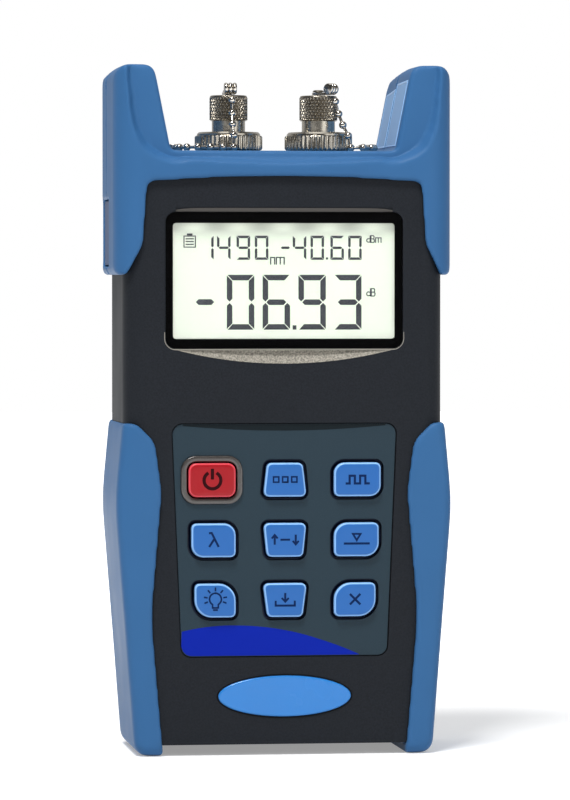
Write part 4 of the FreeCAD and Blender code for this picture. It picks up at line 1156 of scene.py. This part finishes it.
@dataclass
class Keypad:
    """The nine keys with their signs, and the printed field of the overlay."""

    packed: Packed
    sign_up: float = 0.1
    sign_size: float = 1.22
    sign_bold: float = 1.35
    low_left: float = -26.2
    corner_round: float = 2.5
    crest: tuple[Point, ...] = ((-26.35, 31.5), (-22, 32.35), (-17.5, 32.85), (-13.4, 33.0), (-7.5, 32.75),
                                (-1.5, 32.0), (4.5, 30.7), (10.3, 28.9), (15.0, 27.2), (19.1, 25.45))

    def build(self) -> None:
        """Round the keys, print their signs and the field, and lay the painted shadow along the overlay's top."""
        for sign in Sign:
            plastic, ink = (POWER_ABS, POWER_INK) if sign is Sign.POWER else (KEY_ABS, SIGN_INK)
            Softened(sign.value + "_cap", (sign.value + "_key",), plastic, voxel=0.17, rounds=26,
                     keep=0.35).build(self.packed)
            self.print_sign(sign, ink)
        Softened("power_ring", ("power_bezel",), BEZEL_LACQUER, voxel=0.12, rounds=40).build(self.packed)
        self.field()
        self.shade()

    def print_sign(self, sign: Sign, ink: Finish) -> None:
        """Print one key's sign on its face.

        Args:
            sign: The sign.
            ink: Its ink.
        """
        node, size = sign.value + "_key", self.sign_size
        low, high = self.packed.ends(node)
        x, z = (low.x + high.x) / 2, (low.z + high.z) / 2 + self.sign_up
        pad = Builder(sign.value + "_sign")
        for layer, (points, wide) in enumerate(sign.lines()):
            looped = points[0] == points[-1]
            line = [(x + px * size, z + pz * size) for px, pz in (points[:-1] if looped else points)]
            for quad in stroke(line, wide * self.sign_bold, looped):
                pad.plate(quad, low.y - 0.03 - 0.003 * layer, low.y + 0.1)
        pad.finish(ink, self.packed.body(node))

    def shade(self) -> None:
        """The painted shadow along the overlay's top, deepest in the middle."""
        low, high = self.packed.ends("keypad_overlay")
        half = high.x - 2.6
        spread = [2 * i / 40 - 1 for i in range(41)]
        lay("overlay_shade", [[(half * u, low.y - 0.015, high.z - 0.06 - part / 3 * (0.35 + 1.25 * (1 - u ** 2)))
                               for u in spread] for part in range(4)], OVERLAY_SHADOW_PAINT)

    def field(self) -> None:
        """The blue field across the overlay's lower left: a long swelling curve."""
        low, high = self.packed.ends("keypad_overlay")
        slope = 2.4 / (high.z - low.z)
        upper = [along(self.crest, i / 48) for i in range(49)]
        lay("overlay_field", [[(max(x, self.low_left - 0.15 * slope), low.y - 0.02, z) for x, z in upper],
                              [(x, low.y - 0.02, low.z + 0.12 + self.corner(x)) for x, _ in upper]], CREST_INK)

    def corner(self, x: float) -> float:
        """How far the overlay's lower left corner rises at a place across."""
        r, away = self.corner_round, self.low_left + self.corner_round - x
        return 0.0 if away <= 0 else r - math.sqrt(max(0.0, r ** 2 - away ** 2))


def along(points: tuple[Point, ...], share: float) -> Point:
    """A point on a smooth line through points.

    Args:
        points: The points to pass.
        share: 0 at the first point and 1 at the last.

    Returns:
        The place on the line.
    """
    at = share * (len(points) - 1)
    i = min(int(at), len(points) - 2)
    t = at - i
    p0, p1, p2, p3 = (points[max(0, min(len(points) - 1, j))] for j in (i - 1, i, i + 1, i + 2))
    return tuple(0.5 * (2 * b + (c - a) * t + (2 * a - 5 * b + 4 * c - d) * t * t + (3 * b - a - 3 * c + d) * t ** 3)
                 for a, b, c, d in zip(p0, p1, p2, p3))


# ---------------------------------------------------------------- ports

@dataclass
class Port:
    """One fibre port: its knurled ring, the dust cap with its rivet and the clasp of the cap's chain."""

    packed: Packed
    side: Side
    teeth: int = 44
    knurls: int = 32
    knurl_deep: float = 0.42
    knurl_lead: float = 0.62
    barrel_long: float = 3.36
    barrel_ribs: int = 3

    def build(self) -> None:
        """Make the ring, the cap and the clasp."""
        self.ring()
        self.cap()
        self.clasp()

    def named(self, what: str) -> str:
        """The name of this side's node or piece."""
        return self.side.value + "_" + what

    def clasp(self) -> None:
        """The swivel strip under the rivet and the ribbed barrel that grips the chain's end."""
        node = self.named("cap_swivel")
        post = self.packed.middle(self.named("fc_adapter"))
        low, high = self.packed.ends(node)
        turn = math.radians(-90 if self.side is Side.LEFT else -42)
        along_x, along_y = math.cos(turn), math.sin(turn)

        def spot(u: float, v: float, z: float) -> Spot:
            """A place along and across the strip."""
            return post.x + u * along_x - v * along_y, post.y + u * along_y + v * along_x, z

        piece = Builder(self.named("chain_clasp"))
        plan = arc(0, 0, 1.65, 90, 270, 15) + [(2.4, -1.0), (3.4, -0.95), (3.4, 0.95), (2.4, 1.0)]
        sides = [[spot(u, v, low.z + up) for u, v in plan] for up in (0.02, 0.12, 0.5, 0.6)]
        piece.rows([[spot(0, 0, low.z + 0.02)] * len(plan), *sides, [spot(0.5, 0, low.z + 0.6)] * len(plan)])
        middle_z, runs = (low.z + high.z) / 2, 60
        rows = []
        for i in range(runs + 1):
            v = self.barrel_long * (i / runs - 0.5)
            swell = abs(math.sin(self.barrel_ribs * math.pi * i / runs))
            r = {0: 0.05, 1: 0.72}.get(min(i, runs - i), 1.02 + 0.46 * math.sqrt(swell))
            rows.append([spot(u, v, z) for u, z in oval(3.95, middle_z, r, r, 40)])
        piece.rows(rows)
        piece.finish(CHAIN_NICKEL, self.packed.body(node), (node,), 30.0)

    def ring(self) -> None:
        """The ring: straight knurl between two chamfers, a flat top and a wide bore."""
        node = self.named("adapter_ring")
        (low, high), middle = self.packed.ends(node), self.packed.middle(node)
        outer = (high.x - low.x) / 2
        tooth = [max(0.0, min(1.0, 1.7 * abs(((i % 8) / 8.0) * 2 - 1) - 0.35)) for i in range(self.teeth * 8)]
        z0, z1 = low.z, high.z
        # radius, height and how deep the teeth are cut
        profile = ((6.7, z0, 0), (outer - 0.75, z0, 0), (outer - 0.2, z0 + 0.35, 0.15), (outer, z0 + 0.7, 0.42),
                   (outer, z1 - 1.25, 0.42), (outer - 0.2, z1 - 0.95, 0.15), (outer - 0.55, z1 - 0.85, 0),
                   (outer - 0.6, z1 - 0.45, 0), (outer - 1.05, z1, 0), (5.3, z1, 0), (5.0, z1 - 0.25, 0),
                   (4.55, z1 - 0.3, 0), (4.5, z1 - 1.2, 0), (6.7, z1 - 1.2, 0), (6.7, z0, 0))
        net = Builder(self.named("knurled_ring"))
        net.rows([turned(middle, [r - cut * share for share in tooth], z) for r, z, cut in profile])
        net.finish(NICKEL, self.packed.body(node), (node,), 28.0)

    def cap(self) -> None:
        """The dust cap: crossed knurl, rounded shoulder, rivet and an open bore below."""
        node = self.named("dust_cap")
        (low, high), middle = self.packed.ends(node), self.packed.middle(node)
        outer = (high.x - low.x) / 2
        base, roof = low.z, high.z - 1.5
        steps, up = self.knurls * 8, 48
        skirt = [(4.05, base + 5.3), (4.05, base + 0.2), (outer - 0.3, base), (outer - 0.12, base + 0.2)]
        shoulder = [(outer - 0.12, roof - 0.55)] + arc(outer - 0.57, roof - 0.5, 0.45, 0, 90, 5)
        rivet = [(2.3, roof - 0.05), (2.2, roof), (0.8, roof), (0.8, roof + 0.9), (1.5, roof + 0.9)]
        rivet += [(0.9 + 0.6 * math.cos(a), roof + 0.95 + 0.5 * math.sin(a))
                  for a in map(math.radians, (0, 30, 60, 90))] + [(0.02, roof + 1.46)]
        rows = [turned(middle, [r] * steps, z) for r, z in skirt]
        first, last = base + 0.25, roof - 0.6
        for j in range(up + 1):
            z = first + (last - first) * j / up
            fade, lead = min(1.0, j / 2.0, (up - j) / 2.0), (z - first) * self.knurl_lead / outer
            radii = []
            for i in range(steps):
                turn = 2 * math.pi * i / steps
                groove = min(abs(math.sin((turn + way) * self.knurls / 2)) for way in (lead, -lead))
                radii.append(outer - 0.01 - self.knurl_deep * (1 - min(1.0, 1.25 * groove)) * fade)
            rows.append(turned(middle, radii, z))
        rows += [turned(middle, [r] * steps, z) for r, z in shoulder + rivet]
        net = Builder(self.named("knurled_cap"))
        net.rows(rows)
        # the knurl finish's darker tint is painted shade in the knurl's pits
        net.finish(KNURL_NICKEL_SHADED, self.packed.body(node), (node,), 28.0)


# ---------------------------------------------------------------- stage, lamps and camera

@dataclass
class Studio:
    """Pale floor, plain soft lamps, a white surround and the camera."""

    distance: float = 1.25
    turn: float = -7.5
    lift: float = 1.5
    tall_seen: float = 205.8
    sensor: float = 24.0
    aim: Spot = (2.6, 0.0, 89.6)
    floor_half: float = 3.0
    # each lamp's name, place in metres, side in metres and power in watts
    lamps: tuple[tuple[str, Spot, float, float], ...] = (
        ("key_lamp", (-0.3, -0.6, 1.25), 0.32, 16.4), ("fill_lamp", (0.8, -1.1, 0.35), 0.8, 3.0),
        ("top_lamp", (0.0, 0.15, 1.2), 0.6, 1.5))

    def build(self) -> None:
        """Set up the whole stage."""
        bpy.context.scene.view_settings.view_transform = "Standard"
        self.camera()
        self.floor()
        self.surround()
        for lamp in self.lamps:
            self.lamp(*lamp)

    def camera(self) -> None:
        """A long lens from slightly left of the front, level with the meter."""
        data = bpy.data.cameras.new("camera")
        data.sensor_fit = "VERTICAL"
        data.sensor_height = self.sensor
        data.lens = self.sensor * self.distance / (self.tall_seen * MM)
        data.clip_start = 0.01
        camera = put("camera", data)
        turn, lift = math.radians(self.turn), math.radians(self.lift)
        way = Vector((math.sin(turn) * math.cos(lift), -math.cos(turn) * math.cos(lift), math.sin(lift)))
        camera.location = Vector(self.aim) * MM + way * self.distance
        camera.rotation_euler = (-way).to_track_quat("-Z", "Y").to_euler()
        bpy.context.scene.camera = camera

    def floor(self) -> None:
        """A wide pale floor that keeps the meter's shadow."""
        data = bpy.data.meshes.new("floor")
        far = self.floor_half
        data.from_pydata([(-far, -far, 0), (far, -far, 0), (far, far, 0), (-far, far, 0)], [], [(0, 1, 2, 3)])
        floor = put("floor", data)
        made = bpy.data.materials.new("painted_floor_white")
        made.use_nodes = True
        tree = made.node_tree
        tree.nodes.clear()
        path = add_node(tree, "LightPath")
        seen = add_node(tree, "Math", {0: path.outputs["Is Camera Ray"], 1: path.outputs["Is Glossy Ray"]},
                        operation="MAXIMUM")
        cloud = add_node(tree, "TexNoise", {"Scale": 6.0})
        tone = add_node(tree, "Mix", {0: cloud, 6: (0.80, 0.80, 0.80, 1), 7: (0.82, 0.82, 0.82, 1)}, data_type="RGBA")
        matt = add_node(tree, "BsdfDiffuse", {"Color": tone.outputs[2]})
        spot = add_node(tree, "TexCoord").outputs["Object"]
        away = add_node(tree, "VectorMath", {0: spot}, operation="LENGTH").outputs["Value"]
        rise = add_node(tree, "MapRange", {"Value": away, 1: 0.10, 2: 0.40, 3: 0.3, 4: 1.0},
                        interpolation_type="SMOOTHSTEP")
        level = add_node(tree, "Math", {0: rise, 1: seen}, operation="MULTIPLY")
        lift = add_node(tree, "Emission", {"Strength": level})
        both = add_node(tree, "AddShader", {0: matt, 1: lift})
        add_node(tree, "OutputMaterial", {0: both})
        data.materials.append(made)
        floor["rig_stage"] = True

    def surround(self) -> None:
        """A white surround as it is seen, and a plain even light for everything else."""
        world = bpy.data.worlds.new("surround")
        bpy.context.scene.world = world
        world.use_nodes = True
        tree = world.node_tree
        tree.nodes.clear()
        path = add_node(tree, "LightPath")
        seen = add_node(tree, "Math", {0: path.outputs["Is Camera Ray"], 1: path.outputs["Is Transmission Ray"]},
                        operation="MAXIMUM")
        way = add_node(tree, "SeparateXYZ", {0: add_node(tree, "TexCoord").outputs["Generated"]})
        behind = add_node(tree, "MapRange", {"Value": way.outputs["Y"], 1: 0.1, 2: 0.7, 3: 0.06, 4: 0.55},
                          interpolation_type="SMOOTHSTEP")
        shine = add_node(tree, "Background", {"Color": (1, 1, 1, 1), "Strength": behind})
        plain = add_node(tree, "Background", {"Color": (0.95, 0.97, 1.0, 1), "Strength": 0.45})
        white = add_node(tree, "Background", {"Color": (1, 1, 1, 1), "Strength": 1.0})
        soft = add_node(tree, "MixShader", {0: path.outputs["Is Glossy Ray"], 1: plain, 2: shine})
        mixed = add_node(tree, "MixShader", {0: seen, 1: soft, 2: white})
        add_node(tree, "OutputWorld", {0: mixed})

    def lamp(self, name: str, spot: Spot, wide: float, power: float) -> None:
        """Hang one soft lamp that looks at the meter's middle.

        Args:
            name: The lamp's name.
            spot: Where it hangs, in metres.
            wide: The side of its square face, in metres.
            power: Its power in watts.
        """
        data = bpy.data.lights.new(name, "AREA")
        data.size = wide
        data.energy = power
        lamp = put(name, data)
        lamp.location = spot
        lamp.rotation_euler = (Vector((0, 0, 0.09)) - Vector(spot)).to_track_quat("-Z", "Y").to_euler()


def main() -> None:
    """Build the dressed meter on its stage."""
    logging.basicConfig(level=logging.INFO, format="%(message)s")
    packed = Packed()
    Studio().build()
    packed.dress()
    shells = ("front_shell", "rear_shell")
    Guard("guard_moulding", ("top_guard_front", "top_guard_rear"), OVERMOULD, voxel=0.45, rounds=16,
          against=shells, seam=2.5, first=7).build(packed)
    HornPanels(packed).build()
    for side in Side:
        Softened(side.value + "_grip_moulding", (side.value + "_grip",), OVERMOULD, voxel=0.45, rounds=26,
                 against=shells, first=7).build(packed)
    Screws(packed).build()
    Window(packed).build()
    Keypad(packed).build()
    for side in Side:
        Port(packed, side).build()


if __name__ == "__main__":
    main()
